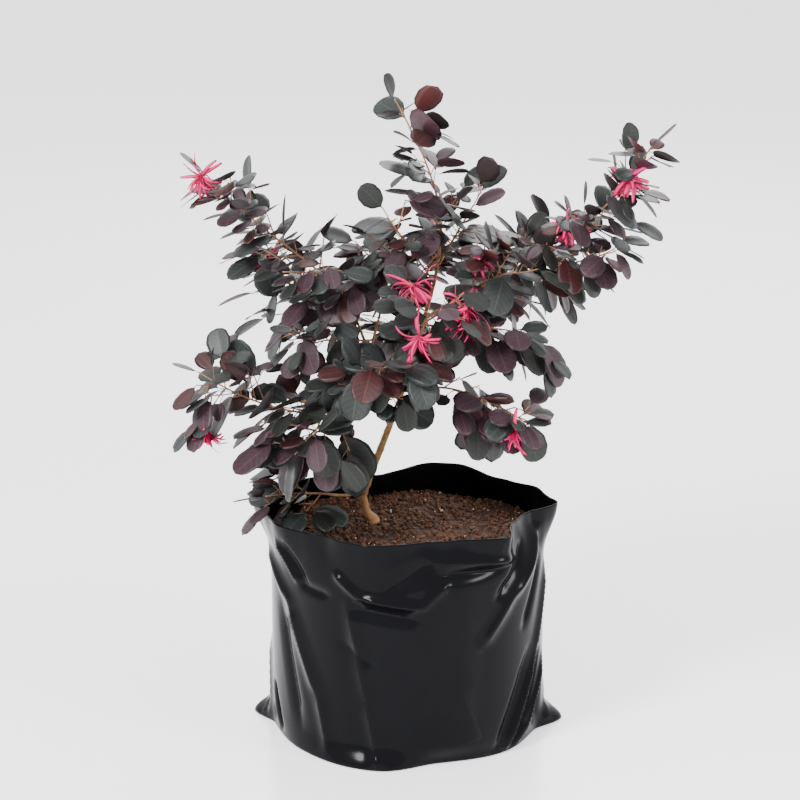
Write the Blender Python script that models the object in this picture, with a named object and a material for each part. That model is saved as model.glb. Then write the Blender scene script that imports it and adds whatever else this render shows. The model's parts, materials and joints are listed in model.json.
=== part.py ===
"""A potted Chinese fringe flower: a young shrub in a filled black film nursery bag.

Metres, +Z up. The origin is the centre of the bag's flat underside, and -Y is the front.
Named sizes in millimetres are turned to metres where the meshes are made.
"""

import math
import random
from dataclasses import dataclass

import bmesh
import bpy
from mathutils import Matrix, Vector
from mathutils.bvhtree import BVHTree

MM = 0.001
UP = Vector((0.0, 0.0, 1.0))
GAP = 0.3

# Bag: a lay-flat film tube 300 mm wide, filled to a round body
LAY_FLAT = 300.0
BODY_RADIUS = LAY_FLAT / math.pi
RIM_HEIGHT = 160.0
FILM = 0.9
FLOOR_FILM = 1.2
EAR_HEIGHT = 16.0
FLARE_HEIGHT = 36.0
BAG_COLUMNS = 50
BAG_LEVELS = (0.0, 5.0, 16.0, 70.0, 124.0, 134.0, 146.0, RIM_HEIGHT)
RIM_OUTLINE = (
    (-170, 102), (-147, 101), (-139, 96), (-127, 92), (-114, 96), (-104, 96), (-85, 88), (-71, 88),
    (-59, 93), (-48, 102), (-39, 90), (-28, 84), (-13, 87), (-8, 96), (-1, 105), (6, 100), (21, 97),
    (32, 88), (48, 85), (63, 94), (75, 94), (84, 90), (96, 81), (111, 77), (137, 86), (155, 96),
    (166, 101), (178, 108),
)
BASE_OUTLINE = (
    (-141, 97), (-101, 103), (-78, 90), (-45, 95), (-17, 94), (-2, 110), (13, 95), (60, 93),
    (100, 96), (140, 93), (162, 95), (174, 110), (-171, 95),
)
RIM_DIP = 4.0
RIM_DIP_AZIMUTH = 104.0
RIM_DIP_SPREAD = 28.0

# Soil: a fill with a slightly uneven top, level round the trunk's foot
SOIL_TOP = 138.5
SOIL_WAVE = 1.2
SOIL_RINGS = 3
FOOT_PLACE = (-24.0, 18.0)
FOOT_RADIUS = 7.0

# Limbs: round tubes with a facet count that follows from the bevel resolution
LIMB_BEVEL = 1
PATH_STEP = 9.0
STEM_STEP = 18.0
FLARE_RADIUS = 4.3
FLARE_LENGTH = 10.0

# Leaf: an ovate blade; each outline pair is a share of the length and of the half width
LEAF_WIDTH = 0.68
LEAF_THICK = 0.026
LEAF_OUTLINE = ((0.28, 0.92), (0.70, 0.90))
BLADE_START = 0.15
LEAF_ANGLE = 56.0
ROOT_DEPTH = 0.3
LEAF_TRIES = 7
LEAFY_SHARE = 0.6
CLEAR = 0.22

# Bloom: a head of strap petals on a short spur
PETAL_COUNT = 4
PETAL_LENGTH = 17.0
PETAL_WIDTH = 2.6
PETAL_THICK = 0.7
PETAL_OUTLINE = ((0.35, 0.8),)


@dataclass(frozen=True)
class Limb:
    """A tapering limb: its root's share of the way along its parent, and the points it runs through."""

    name: str
    parent: str
    at: float
    points: tuple
    base_radius: float
    tip_radius: float


@dataclass(frozen=True)
class Spray:
    """A mass of foliage: its stem, and the sizes and seed that its side twigs and leaves follow."""

    name: str
    limb: str
    at: float
    tip: tuple
    bow: tuple
    twigs: int
    reach: float
    leaf: float
    node_gap: float
    hang: float
    seed: int


@dataclass(frozen=True)
class Bloom:
    """A head of petals in a mass, at its place and with a share of the full petal length."""

    spray: str
    place: tuple
    size: float


@dataclass
class Twig:
    """A tapering path in millimetres."""

    path: list
    radii: list


@dataclass
class Blade:
    """A leaf or petal: its root, its two directions and its sizes in millimetres."""

    root: Vector
    along: Vector
    normal: Vector
    length: float
    width: float
    thick: float
    outline: tuple


LIMBS = (
    Limb("trunk", "", 0.0, ((-31, 18, 157), (-18, 12, 197), (-6, 4, 231)), 2.9, 2.0),
    Limb("bough_leader", "trunk", 1.0, ((2, 9, 258), (10, 14, 284), (18, 16, 312), (22, 18, 336)), 1.8, 1.1),
    Limb("bough_left_low", "trunk", 0.92, ((-30, -2, 231), (-44, -13, 231)), 1.5, 1.1),
    Limb("bough_left_rise", "bough_left_low", 0.55, ((-27, 0, 252), (-25, 3, 270), (-20, 5, 290)), 1.2, 0.9),
    Limb("bough_left_arm", "bough_left_rise", 0.6, ((-40, 9, 300), (-50, 11, 312)), 1.0, 0.8),
    Limb("bough_right", "bough_leader", 0.56, ((42, 0, 311), (52, -4, 316)), 1.3, 1.0),
    Limb("bough_right_low", "trunk", 0.965, ((6, -14, 245), (14, -24, 250)), 1.3, 1.0),
    Limb("bough_front", "bough_leader", 0.42, ((12, -10, 290), (12, -20, 294)), 1.0, 0.8),
    Limb("bough_front_low", "trunk", 0.8, ((-16, -16, 238), (-18, -28, 246)), 1.0, 0.8),
    Limb("bough_back", "bough_leader", 0.14, ((2, 30, 268), (4, 42, 280)), 1.2, 0.9),
    Limb("bough_back_left", "bough_left_rise", 0.3, ((-42, 26, 272), (-54, 40, 282)), 1.0, 0.8),
    Limb("bough_back_right", "bough_leader", 0.3, ((28, 30, 288), (42, 42, 296)), 1.0, 0.8),
    Limb("bough_foot", "trunk", 0.25, ((-44, 5, 163), (-54, -5, 167)), 1.2, 0.9),
)

SPRAYS = (
    Spray("foliage_leader", "bough_leader", 1.0, (-9, 8, 443), (6, 0, 6), 3, 24, 29, 15, 0.15, 1),
    Spray("foliage_crown", "bough_leader", 0.9, (44, -4, 372), (0, 0, 0), 5, 28, 29, 15, 0.35, 2),
    Spray("foliage_crown_left", "bough_leader", 0.8, (-14, -14, 366), (0, 0, 2), 5, 26, 29, 15, 0.35, 3),
    Spray("foliage_left_arm", "bough_left_arm", 1.0, (-136, 2, 392), (6, 0, -14), 8, 26, 28, 15, 0.3, 4),
    Spray("foliage_left_inner", "bough_left_arm", 0.7, (-66, -30, 334), (0, 0, 4), 6, 32, 27, 14, 0.45, 5),
    Spray("foliage_left_rise", "bough_left_rise", 1.0, (-14, 4, 346), (0, 0, 0), 7, 32, 27, 14, 0.45, 6),
    Spray("foliage_left_mid", "bough_left_rise", 0.75, (-72, -30, 278), (0, 0, 10), 7, 34, 28, 14, 0.6, 7),
    Spray("foliage_right_arm", "bough_right", 1.0, (162, -28, 418), (8, 0, -18), 12, 28, 28, 14, 0.35, 8),
    Spray("foliage_right_lower", "bough_right", 0.92, (138, -44, 350), (0, 0, 0), 7, 24, 26, 13, 0.6, 9),
    Spray("foliage_right_inner", "bough_right", 0.6, (72, -52, 338), (0, 0, 6), 7, 30, 28, 14, 0.45, 10),
    Spray("foliage_right_mid", "bough_front", 0.8, (90, -52, 290), (0, 0, 10), 7, 30, 30, 14, 0.55, 11),
    Spray("foliage_right_low", "bough_right_low", 1.0, (80, -70, 238), (0, 0, 8), 7, 20, 30, 13, 0.85, 12),
    Spray("foliage_front", "bough_front", 1.0, (22, -80, 320), (0, 0, -4), 7, 36, 30, 14, 0.5, 13),
    Spray("foliage_front_low", "bough_front_low", 1.0, (-10, -72, 284), (0, 0, 0), 7, 34, 30, 14, 0.6, 14),
    Spray("foliage_left_low", "bough_left_low", 1.0, (-142, -34, 264), (0, 0, -14), 11, 34, 29, 14, 0.4, 15),
    Spray("foliage_left_near", "bough_left_low", 0.85, (-76, -62, 214), (0, 0, 12), 6, 34, 34, 14, 0.6, 16),
    Spray("foliage_foot", "bough_foot", 1.0, (-98, -24, 172), (0, 0, 2), 5, 28, 30, 14, 0.05, 17),
    Spray("foliage_back", "bough_back", 1.0, (8, 96, 330), (0, 0, 0), 8, 38, 30, 15, 0.45, 18),
    Spray("foliage_back_low", "bough_back", 0.7, (-20, 92, 252), (0, 0, 10), 7, 36, 30, 15, 0.6, 19),
    Spray("foliage_back_left", "bough_back_left", 1.0, (-104, 72, 316), (0, 0, 0), 8, 38, 30, 15, 0.4, 20),
    Spray("foliage_back_right", "bough_back_right", 1.0, (98, 74, 320), (0, 0, 0), 8, 38, 30, 15, 0.4, 21),
)

BLOOMS = (
    Bloom("foliage_left_arm", (-139, 0, 392), 0.9),
    Bloom("foliage_left_low", (-135, -48, 226), 0.9),
    Bloom("foliage_front", (4, -60, 330), 1.0),
    Bloom("foliage_front", (36, -66, 318), 1.25),
    Bloom("foliage_front", (8, -74, 300), 1.0),
    Bloom("foliage_right_inner", (48, -40, 344), 0.7),
    Bloom("foliage_right_arm", (106, -30, 366), 0.9),
    Bloom("foliage_right_arm", (148, -34, 398), 0.9),
    Bloom("foliage_right_low", (72, -76, 234), 0.9),
    Bloom("foliage_back", (20, 96, 332), 1.0),
    Bloom("foliage_back_left", (-98, 78, 316), 0.9),
    Bloom("foliage_back_right", (92, 84, 318), 1.0),
)


def smooth(share):
    """Ease a share from 0 to 1."""
    share = min(1.0, max(0.0, share))
    return share * share * (3.0 - 2.0 * share)


def catmull(a, b, c, d, t):
    """Return the place at t between b and c on a smooth curve."""
    return 0.5 * (2.0 * b + (c - a) * t + (2.0 * a - 5.0 * b + 4.0 * c - d) * t * t
                  + (3.0 * b - a - 3.0 * c + d) * t * t * t)


def outline_radius(outline, azimuth):
    """Read a closed outline of azimuths and radii at any azimuth, in degrees."""
    knots = sorted(outline)
    count = len(knots)
    azimuth = (azimuth + 180.0) % 360.0 - 180.0
    after = next((i for i, knot in enumerate(knots) if knot[0] > azimuth), count)
    picks = [knots[(after + shift) % count] for shift in (-2, -1, 0, 1)]
    span = (picks[2][0] - picks[1][0]) % 360.0
    share = ((azimuth - picks[1][0]) % 360.0) / span
    return catmull(*(radius for _, radius in picks), share)


def rim_height(azimuth):
    """Return the rim's height, which dips a little at the back."""
    away = abs((azimuth - RIM_DIP_AZIMUTH + 180.0) % 360.0 - 180.0)
    return RIM_HEIGHT - RIM_DIP * smooth(1.0 - away / RIM_DIP_SPREAD)


def bag_radius(azimuth, height):
    """Return the bag's outer radius: eared foot, round body and flared rim."""
    foot = outline_radius(BASE_OUTLINE, azimuth) - BODY_RADIUS
    rim = outline_radius(RIM_OUTLINE, azimuth) - BODY_RADIUS
    from_foot = smooth(1.0 - height / EAR_HEIGHT)
    from_rim = smooth((height - (RIM_HEIGHT - FLARE_HEIGHT)) / FLARE_HEIGHT)
    return BODY_RADIUS + foot * from_foot + rim * from_rim


def bag_place(column, height, inset):
    """Return a point on the bag's wall, inset from the outer film."""
    azimuth = 360.0 * column / BAG_COLUMNS
    lift = rim_height(azimuth) / RIM_HEIGHT
    radius = bag_radius(azimuth, height) - inset
    angle = math.radians(azimuth)
    return Vector((radius * math.cos(angle), radius * math.sin(angle), height * lift))


def material(name, colour, roughness):
    """Return a plain material."""
    made = bpy.data.materials.new(name)
    made.use_nodes = True
    shader = made.node_tree.nodes["Principled BSDF"]
    shader.inputs["Base Color"].default_value = (*colour, 1.0)
    shader.inputs["Roughness"].default_value = roughness
    shader.inputs["Metallic"].default_value = 0.0
    return made


def add_object(name, bm, collection, finish=None):
    """Turn a bmesh in millimetres into an object in metres."""
    bmesh.ops.scale(bm, vec=(MM, MM, MM), verts=bm.verts)
    bmesh.ops.recalc_face_normals(bm, faces=bm.faces)
    mesh = bpy.data.meshes.new(name)
    bm.to_mesh(mesh)
    bm.free()
    made = bpy.data.objects.new(name, mesh)
    collection.objects.link(made)
    if finish:
        mesh.materials.append(finish)
    return made


def loft(bm, rings):
    """Join closed rings of vertices, one after the other."""
    for low, high in zip(rings, rings[1:]):
        count = len(low)
        for i in range(count):
            j = (i + 1) % count
            bm.faces.new((low[i], low[j], high[j], high[i]))


def ring(bm, places):
    """Add a ring of vertices."""
    return [bm.verts.new(place) for place in places]


def fan(bm, verts, centre):
    """Close a ring with triangles to a centre."""
    middle = bm.verts.new(centre)
    for i, vert in enumerate(verts):
        bm.faces.new((vert, verts[(i + 1) % len(verts)], middle))


def build_bag(collection):
    """Make the film bag: a closed foot, a thin wall and an open flared rim."""
    columns = range(BAG_COLUMNS)
    bm = bmesh.new()
    outer = [ring(bm, [bag_place(i, height, 0.0) for i in columns]) for height in BAG_LEVELS]
    lining = [FLOOR_FILM] + [level for level in BAG_LEVELS if level > EAR_HEIGHT]
    inner = []
    for height in reversed(lining):
        tucked = max(height, EAR_HEIGHT)
        places = [bag_place(i, tucked, FILM) for i in columns]
        for place in places:
            place.z += height - tucked
        inner.append(ring(bm, places))
    loft(bm, outer + inner)
    fan(bm, outer[0], (0.0, 0.0, 0.0))
    fan(bm, inner[-1], (0.0, 0.0, FLOOR_FILM))
    return add_object("bag", bm, collection, material("black_film", (0.012, 0.012, 0.014), 0.25))


def soil_height(place):
    """Return the soil's top: level round the trunk's foot and slightly uneven outside it."""
    away = (Vector(place[:2]) - Vector(FOOT_PLACE)).length
    wave = math.sin(place[0] * 0.09 + 1.0) + math.cos(place[1] * 0.11 - 0.4)
    return SOIL_TOP + SOIL_WAVE * wave * smooth((away - FOOT_RADIUS) / FOOT_RADIUS)


def build_soil(collection):
    """Make the soil: it fills the bag and its top closes in on the trunk's foot."""
    columns = range(BAG_COLUMNS)
    bm = bmesh.new()
    rings = []
    for height in (FLOOR_FILM + GAP, 124.0):
        tucked = max(height, EAR_HEIGHT)
        places = [bag_place(i, tucked, FILM + GAP) for i in columns]
        for place in places:
            place.z += height - tucked
        rings.append(ring(bm, places))
    edge = [bag_place(i, SOIL_TOP, FILM + GAP) for i in columns]
    foot = Vector((*FOOT_PLACE, 0.0))
    for step in range(SOIL_RINGS + 1):
        share = (step / SOIL_RINGS) ** 0.8
        places = []
        for place in edge:
            close = foot + (place - foot).normalized() * FOOT_RADIUS
            at = place.lerp(close, share)
            places.append(Vector((at.x, at.y, soil_height(at))))
        rings.append(ring(bm, places))
    loft(bm, rings)
    fan(bm, rings[0], (0.0, 0.0, FLOOR_FILM + GAP))
    fan(bm, rings[-1], (*FOOT_PLACE, SOIL_TOP))
    return add_object("soil", bm, collection, material("potting_soil", (0.09, 0.045, 0.025), 0.95))


def smooth_path(points, step=PATH_STEP):
    """Return places along a smooth curve through points, about a step apart."""
    knots = [Vector(point) for point in points]
    knots = [2.0 * knots[0] - knots[1], *knots, 2.0 * knots[-1] - knots[-2]]
    path = [knots[1]]
    for a, b, c, d in zip(knots, knots[1:], knots[2:], knots[3:]):
        count = max(1, round((c - b).length / step))
        path.extend(catmull(a, b, c, d, i / count) for i in range(1, count + 1))
    return path


def travelled(path):
    """Return the distance along a path at each of its points."""
    marks = [0.0]
    for a, b in zip(path, path[1:]):
        marks.append(marks[-1] + (b - a).length)
    return marks


def tapered(path, base, tip):
    """Return a twig whose radius runs evenly from base to tip."""
    marks = travelled(path)
    return Twig(path, [base + (tip - base) * mark / marks[-1] for mark in marks])


def read_twig(twig, at):
    """Return the place, direction and radius at a share of the way along a twig."""
    marks = travelled(twig.path)
    want = at * marks[-1]
    index = next((i for i in range(1, len(marks)) if marks[i] >= want), len(marks) - 1)
    share = (want - marks[index - 1]) / (marks[index] - marks[index - 1])
    a, b = twig.path[index - 1], twig.path[index]
    radius = twig.radii[index - 1] + (twig.radii[index] - twig.radii[index - 1]) * share
    return a.lerp(b, share), (b - a).normalized(), radius


def rooted(parent, at, towards, radius):
    """Return the first points of a limb whose root is just clear of its parent."""
    place, heading, parent_radius = read_twig(parent, at)
    if at >= 1.0:
        return [place + heading * GAP, place + heading * (GAP + 1.5)]
    leaving = (towards - place).normalized()
    leaving = (leaving - heading * leaving.dot(heading) * 0.5).normalized()
    cosine = abs(leaving.dot(heading))
    sine = math.sqrt(1.0 - cosine * cosine)
    return [place + leaving * ((parent_radius + GAP + radius * cosine) / sine)]


def lay_limbs():
    """Return each limb's tapering path by name."""
    laid = {}
    for limb in LIMBS:
        if limb.parent:
            start = rooted(laid[limb.parent], limb.at, Vector(limb.points[0]), limb.base_radius)
            laid[limb.name] = tapered(smooth_path([*start, *limb.points]), limb.base_radius, limb.tip_radius)
            continue
        foot = Vector((*FOOT_PLACE, SOIL_TOP + GAP))
        laid[limb.name] = tapered(
            smooth_path([foot, foot + UP * 2.0, *limb.points]), limb.base_radius, limb.tip_radius)
        marks = travelled(laid[limb.name].path)
        flare = [(FLARE_RADIUS - limb.base_radius) * smooth(1.0 - mark / FLARE_LENGTH) for mark in marks]
        laid[limb.name].radii = [r + more for r, more in zip(laid[limb.name].radii, flare)]
    return laid


def blade_frame(blade):
    """Return the matrix that turns a flat blade along +X, face up, to its place."""
    across = blade.normal.cross(blade.along)
    turn = Matrix((blade.along, across, blade.normal)).transposed().to_4x4()
    return Matrix.Translation(blade.root) @ turn


def blade_ring(blade, start=0.0, more=0.0):
    """Return the outline of a flat blade from a share of its length on, grown by more."""
    half = blade.width / 2.0
    side = [(share * blade.length, width * half + more) for share, width in blade.outline]
    first = (start * blade.length - more, 0.0)
    last = (blade.length + more, 0.0)
    return [last, *reversed(side), first, *[(x, -y) for x, y in side]]


def blade_proxy(blade, start):
    """Return a slightly larger blade as vertices and faces, to test what it would touch."""
    edge = blade_ring(blade, start, CLEAR)
    frame = blade_frame(blade)
    middle = blade.length / 2.0
    high = blade.thick / 2.0 + CLEAR
    flat = [Vector((x, y, 0.0)) for x, y in edge]
    verts = [frame @ place for place in flat + [Vector((middle, 0, high)), Vector((middle, 0, -high))]]
    count = len(edge)
    faces = []
    for i in range(count):
        j = (i + 1) % count
        faces.append((i, j, count))
        faces.append((j, i, count + 1))
    return verts, faces


def twig_proxy(twig):
    """Return a slightly larger twig as vertices and faces."""
    sides = 5
    verts = []
    faces = []
    last = len(twig.path) - 1
    for index, (place, radius) in enumerate(zip(twig.path, twig.radii)):
        heading = (twig.path[min(index + 1, last)] - twig.path[max(index - 1, 0)]).normalized()
        across = heading.orthogonal().normalized()
        up = heading.cross(across)
        for i in range(sides):
            angle = math.tau * i / sides
            reach = (radius + CLEAR) / math.cos(math.pi / sides)
            verts.append(place + (across * math.cos(angle) + up * math.sin(angle)) * reach)
    for level in range(last):
        for i in range(sides):
            j = (i + 1) % sides
            low, high = level * sides, (level + 1) * sides
            faces.append((low + i, low + j, high + j, high + i))
    faces.append(tuple(range(sides)))
    faces.append(tuple(range(last * sides, last * sides + sides)))
    return verts, faces


class Crowd:
    """What has grown so far, to keep each new twig and leaf clear of the rest."""

    def __init__(self):
        """Start with nothing grown."""
        self.others = []
        self.own = []

    @staticmethod
    def entry(owner, shape):
        """Return a shape's owner, box and search tree."""
        verts, faces = shape
        low = [min(vert[axis] for vert in verts) for axis in range(3)]
        high = [max(vert[axis] for vert in verts) for axis in range(3)]
        return owner, low, high, BVHTree.FromPolygons(verts, faces)

    def add(self, owner, whole, bare=None):
        """Keep a shape, and the part of it that its own mass has to clear."""
        self.others.append(self.entry(owner, whole))
        self.own.append(self.entry(owner, bare or whole))

    def touches(self, owner, whole, bare=None):
        """Say whether a shape would touch another mass, or its bare part its own mass."""
        mine = self.entry(owner, whole)
        if any(other[0] != owner and self.meets(mine, other) for other in self.others):
            return True
        if bare is None:
            return False
        mine = self.entry(owner, bare)
        return any(other[0] == owner and self.meets(mine, other) for other in self.own)

    @staticmethod
    def meets(one, other):
        """Say whether two shapes cross."""
        for axis in range(3):
            if one[1][axis] > other[2][axis] or other[1][axis] > one[2][axis]:
                return False
        return bool(one[3].overlap(other[3]))


def in_bag(place):
    """Say whether a place is in the bag's wall or the soil, or too close to them."""
    azimuth = math.degrees(math.atan2(place.y, place.x))
    away = math.hypot(place.x, place.y)
    wall = bag_radius(azimuth, RIM_HEIGHT)
    if away < wall + 2.0 and place.z < SOIL_TOP + 4.0:
        return True
    return abs(away - wall) < 3.0 and place.z < RIM_HEIGHT + 1.5


def strays(spray, stem, verts):
    """Say whether a shape would leave its mass's own space or reach the bag."""
    room = spray.reach + spray.leaf
    for vert in verts:
        if in_bag(vert) or min((vert - place).length for place in stem.path) > room:
            return True
    return False


def stem_twig(spray, laid):
    """Return a mass's stem: it leaves its limb's line and bows towards its tip."""
    tip = Vector(spray.tip)
    start = rooted(laid[spray.limb], spray.at, tip, 0.8)
    heading = (start[-1] - start[0]).normalized() if spray.at >= 1.0 else (tip - start[0]).normalized()
    length = (tip - start[-1]).length
    first = start[-1] + heading * length * 0.3
    second = start[-1].lerp(tip, 0.66) + Vector(spray.bow)
    count = max(4, round(length / STEM_STEP))
    path = start[:-1]
    for i in range(count + 1):
        t = i / count
        path.append(start[-1] * (1 - t) ** 3 + first * 3 * t * (1 - t) ** 2
                    + second * 3 * t * t * (1 - t) + tip * t ** 3)
    return tapered(path, 0.85, 0.5)


def sideways(heading, rng):
    """Return a level direction across a heading, or any across it where it is upright."""
    across = heading.cross(UP)
    if across.length < 0.35:
        angle = rng.uniform(0.0, math.tau)
        across = heading.cross(Vector((math.cos(angle), math.sin(angle), 0.0)))
    return across.normalized()


def side_twig(spray, stem, index, attempt):
    """Return one side twig of a mass's stem."""
    rng = random.Random(spray.seed * 1009 + index * 31 + attempt)
    at = 0.1 + 0.82 * (index + rng.uniform(0.2, 0.8)) / spray.twigs
    place, heading, radius = read_twig(stem, at)
    across = sideways(heading, rng) * (1 if index % 2 else -1)
    across = Matrix.Rotation(math.radians(rng.uniform(-70.0, 70.0)), 3, heading) @ across
    spread = math.radians(rng.uniform(42.0, 68.0))
    leaving = heading * math.cos(spread) + across * math.sin(spread)
    length = spray.reach * (1.0 - 0.4 * at) * rng.uniform(0.75, 1.1)
    lift = UP * length * rng.uniform(-0.12, 0.22)
    path = [place + leaving * length * share + lift * share * share for share in (0.0, 0.5, 1.0)]
    return tapered(path, min(radius * 0.8, 0.7), 0.42)


def leaf_blade(spray, twig, slot, attempt, key):
    """Return one leaf of a twig: slot 0 is the tip's, and the rest alternate down the twig."""
    rng = random.Random(spray.seed * 7919 + key * 131 + slot * 17 + attempt * 3)
    total = travelled(twig.path)[-1]
    at = 1.0 - (slot * spray.node_gap + rng.uniform(-1.0, 1.0) * (slot > 0)) / total
    place, heading, _ = read_twig(twig, min(1.0, at))
    spread = math.radians(LEAF_ANGLE + rng.uniform(-14.0, 14.0)) if slot else math.radians(rng.uniform(0, 20))
    across = sideways(heading, rng) * (1 if (slot + key) % 2 else -1)
    across = Matrix.Rotation(math.radians(rng.uniform(-35.0, 35.0)), 3, heading) @ across
    along = heading * math.cos(spread) + across * math.sin(spread)
    hang = min(0.9, max(0.0, spray.hang + rng.uniform(-0.25, 0.2)))
    along = (along * (1.0 - hang) - UP * hang).normalized()
    outward = Vector((place.x, place.y - 10.0, 0.0))
    facing = UP + outward.normalized() * 0.7
    facing = facing + Vector((rng.uniform(-0.5, 0.5), rng.uniform(-0.5, 0.5), rng.uniform(-0.3, 0.3)))
    normal = (facing - along * facing.dot(along)).normalized()
    grown = min(1.0, 0.72 + 0.14 * slot)
    length = spray.leaf * grown * rng.uniform(0.85, 1.2)
    width = length * LEAF_WIDTH * rng.uniform(0.92, 1.08)
    return Blade(place - along * ROOT_DEPTH, along, normal, length, width, length * LEAF_THICK, LEAF_OUTLINE)


def petal_blades(bloom, place, heading):
    """Return the strap petals of a head, which spread and droop from its place."""
    rng = random.Random(round(abs(place.x) * 10 + abs(place.z)))
    petals = []
    across = heading.orthogonal().normalized()
    for i in range(PETAL_COUNT):
        turn = Matrix.Rotation(math.tau * (i + rng.uniform(-0.3, 0.3)) / PETAL_COUNT, 3, heading)
        lean = math.radians(rng.uniform(35.0, 100.0))
        along = heading * math.cos(lean) + (turn @ across) * math.sin(lean) - UP * rng.uniform(0.1, 0.7)
        along.normalize()
        normal = along.cross((turn @ across).cross(UP) + UP * 0.2).normalized()
        length = PETAL_LENGTH * bloom.size * rng.uniform(0.75, 1.1)
        petals.append(Blade(place - along * ROOT_DEPTH, along, normal, length, PETAL_WIDTH, PETAL_THICK, PETAL_OUTLINE))
    return petals


def nearest_on(twigs, place):
    """Return the nearest place on a set of twigs."""
    best = None
    for twig in twigs:
        for i in range(1, 11):
            at = read_twig(twig, i / 10.0)[0]
            if best is None or (at - place).length < (best - place).length:
                best = at
    return best


def grow_bloom(bloom, twigs, petals, crowd):
    """Grow a head of petals on a short spur from the nearest twig of its mass."""
    place = Vector(bloom.place)
    start = nearest_on(twigs, place)
    heading = (place - start).normalized()
    spur = tapered([start, start.lerp(place, 0.5), place], 0.5, 0.8)
    proxy = twig_proxy(spur)
    if crowd.touches(bloom.spray, proxy):
        return None
    crowd.add(bloom.spray, proxy)
    for petal in petal_blades(bloom, place, heading):
        proxy = blade_proxy(petal, 0.0)
        if not crowd.touches(bloom.spray, proxy):
            petals.append(petal)
            crowd.add(bloom.spray, proxy)
    return spur


def grow_mass(spray, stem, crowd):
    """Grow a mass on its stem: side twigs, then blooms, then the leaves of each twig from its tip down."""
    twigs, leaves, petals = [stem], [], []
    for index in range(spray.twigs):
        for attempt in range(LEAF_TRIES):
            twig = side_twig(spray, stem, index, attempt)
            proxy = twig_proxy(twig)
            if strays(spray, stem, proxy[0]) or crowd.touches(spray.name, proxy):
                continue
            twigs.append(twig)
            crowd.add(spray.name, proxy)
            break
    spurs = [grow_bloom(bloom, twigs, petals, crowd) for bloom in BLOOMS if bloom.spray == spray.name]
    for key, twig in enumerate(twigs):
        total = travelled(twig.path)[-1]
        for slot in range(int(total * LEAFY_SHARE / spray.node_gap) + 1):
            for attempt in range(LEAF_TRIES):
                leaf = leaf_blade(spray, twig, slot, attempt, key)
                whole = blade_proxy(leaf, 0.0)
                bare = blade_proxy(leaf, BLADE_START)
                if strays(spray, stem, whole[0]) or crowd.touches(spray.name, whole, bare):
                    continue
                leaves.append(leaf)
                crowd.add(spray.name, whole, bare)
                break
    return twigs + [spur for spur in spurs if spur], leaves, petals


def grow(laid):
    """Grow the masses in turn, each clear of the limbs and of what has grown before it."""
    crowd = Crowd()
    for name, limb in laid.items():
        crowd.add(name, twig_proxy(limb))
    stems = {spray.name: stem_twig(spray, laid) for spray in SPRAYS}
    for name, stem in stems.items():
        crowd.add(name, twig_proxy(stem))
    return {spray.name: grow_mass(spray, stems[spray.name], crowd) for spray in SPRAYS}


def twig_profile(collection):
    """Return the triangle that twigs are swept with."""
    curve = bpy.data.curves.new("twig_profile", "CURVE")
    spline = curve.splines.new("POLY")
    spline.points.add(2)
    for i, point in enumerate(spline.points):
        angle = math.tau * i / 3.0
        point.co = (MM * math.cos(angle), MM * math.sin(angle), 0.0, 1.0)
    spline.use_cyclic_u = True
    made = bpy.data.objects.new("twig_profile", curve)
    made.hide_render = True
    made.display_type = "WIRE"
    collection.objects.link(made)
    return made


def sweep(name, twig, collection, profile=None):
    """Make a tapering tube: round, or with a profile's sides."""
    curve = bpy.data.curves.new(name, "CURVE")
    curve.dimensions = "3D"
    curve.use_fill_caps = True
    if profile:
        curve.bevel_mode = "OBJECT"
        curve.bevel_object = profile
    else:
        curve.bevel_depth = MM
        curve.bevel_resolution = LIMB_BEVEL
    spline = curve.splines.new("POLY")
    spline.points.add(len(twig.path) - 1)
    for point, place, radius in zip(spline.points, twig.path, twig.radii):
        point.co = (*(place * MM), 1.0)
        point.radius = radius
    holder = bpy.data.objects.new(name, curve)
    collection.objects.link(holder)
    evaluated = holder.evaluated_get(bpy.context.evaluated_depsgraph_get())
    mesh = bpy.data.meshes.new_from_object(evaluated)
    bpy.data.objects.remove(holder)
    bpy.data.curves.remove(curve)
    bm = bmesh.new()
    bm.from_mesh(mesh)
    bmesh.ops.remove_doubles(bm, verts=bm.verts, dist=1e-6)
    bmesh.ops.recalc_face_normals(bm, faces=bm.faces)
    bm.to_mesh(mesh)
    bm.free()
    made = bpy.data.objects.new(name, mesh)
    collection.objects.link(made)
    return made


def make_blade(name, blade, collection):
    """Make a leaf or petal from a two-sided cone whose ring is moved to the outline."""
    edge = blade_ring(blade)
    bm = bmesh.new()
    bmesh.ops.create_uvsphere(bm, u_segments=len(edge), v_segments=2, radius=1.0)
    for vert in bm.verts:
        if abs(vert.co.z) > 0.5:
            side = math.copysign(blade.thick / 2.0, vert.co.z)
            vert.co = Vector((blade.length / 2.0, 0.0, side))
            continue
        turn = math.atan2(vert.co.y, vert.co.x) / math.tau * len(edge)
        x, y = edge[round(turn) % len(edge)]
        vert.co = Vector((x, y, 0.0))
    bmesh.ops.transform(bm, matrix=blade_frame(blade), verts=bm.verts)
    return add_object(name, bm, collection)


def largest_shell(mesh):
    """Keep the largest outward shell of a mesh, and drop loose scraps and sealed hollows."""
    bm = bmesh.new()
    bm.from_mesh(mesh)
    left = set(bm.faces)
    shells = []
    while left:
        front = [left.pop()]
        shell = []
        while front:
            face = front.pop()
            shell.append(face)
            for edge in face.edges:
                for near in edge.link_faces:
                    if len(edge.link_faces) == 2 and near in left:
                        left.remove(near)
                        front.append(near)
        shells.append(shell)
    shells.sort(key=len)
    scraps = [face for shell in shells[:-1] for face in shell]
    bmesh.ops.delete(bm, geom=scraps, context="FACES")
    bm.to_mesh(mesh)
    bm.free()


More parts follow.
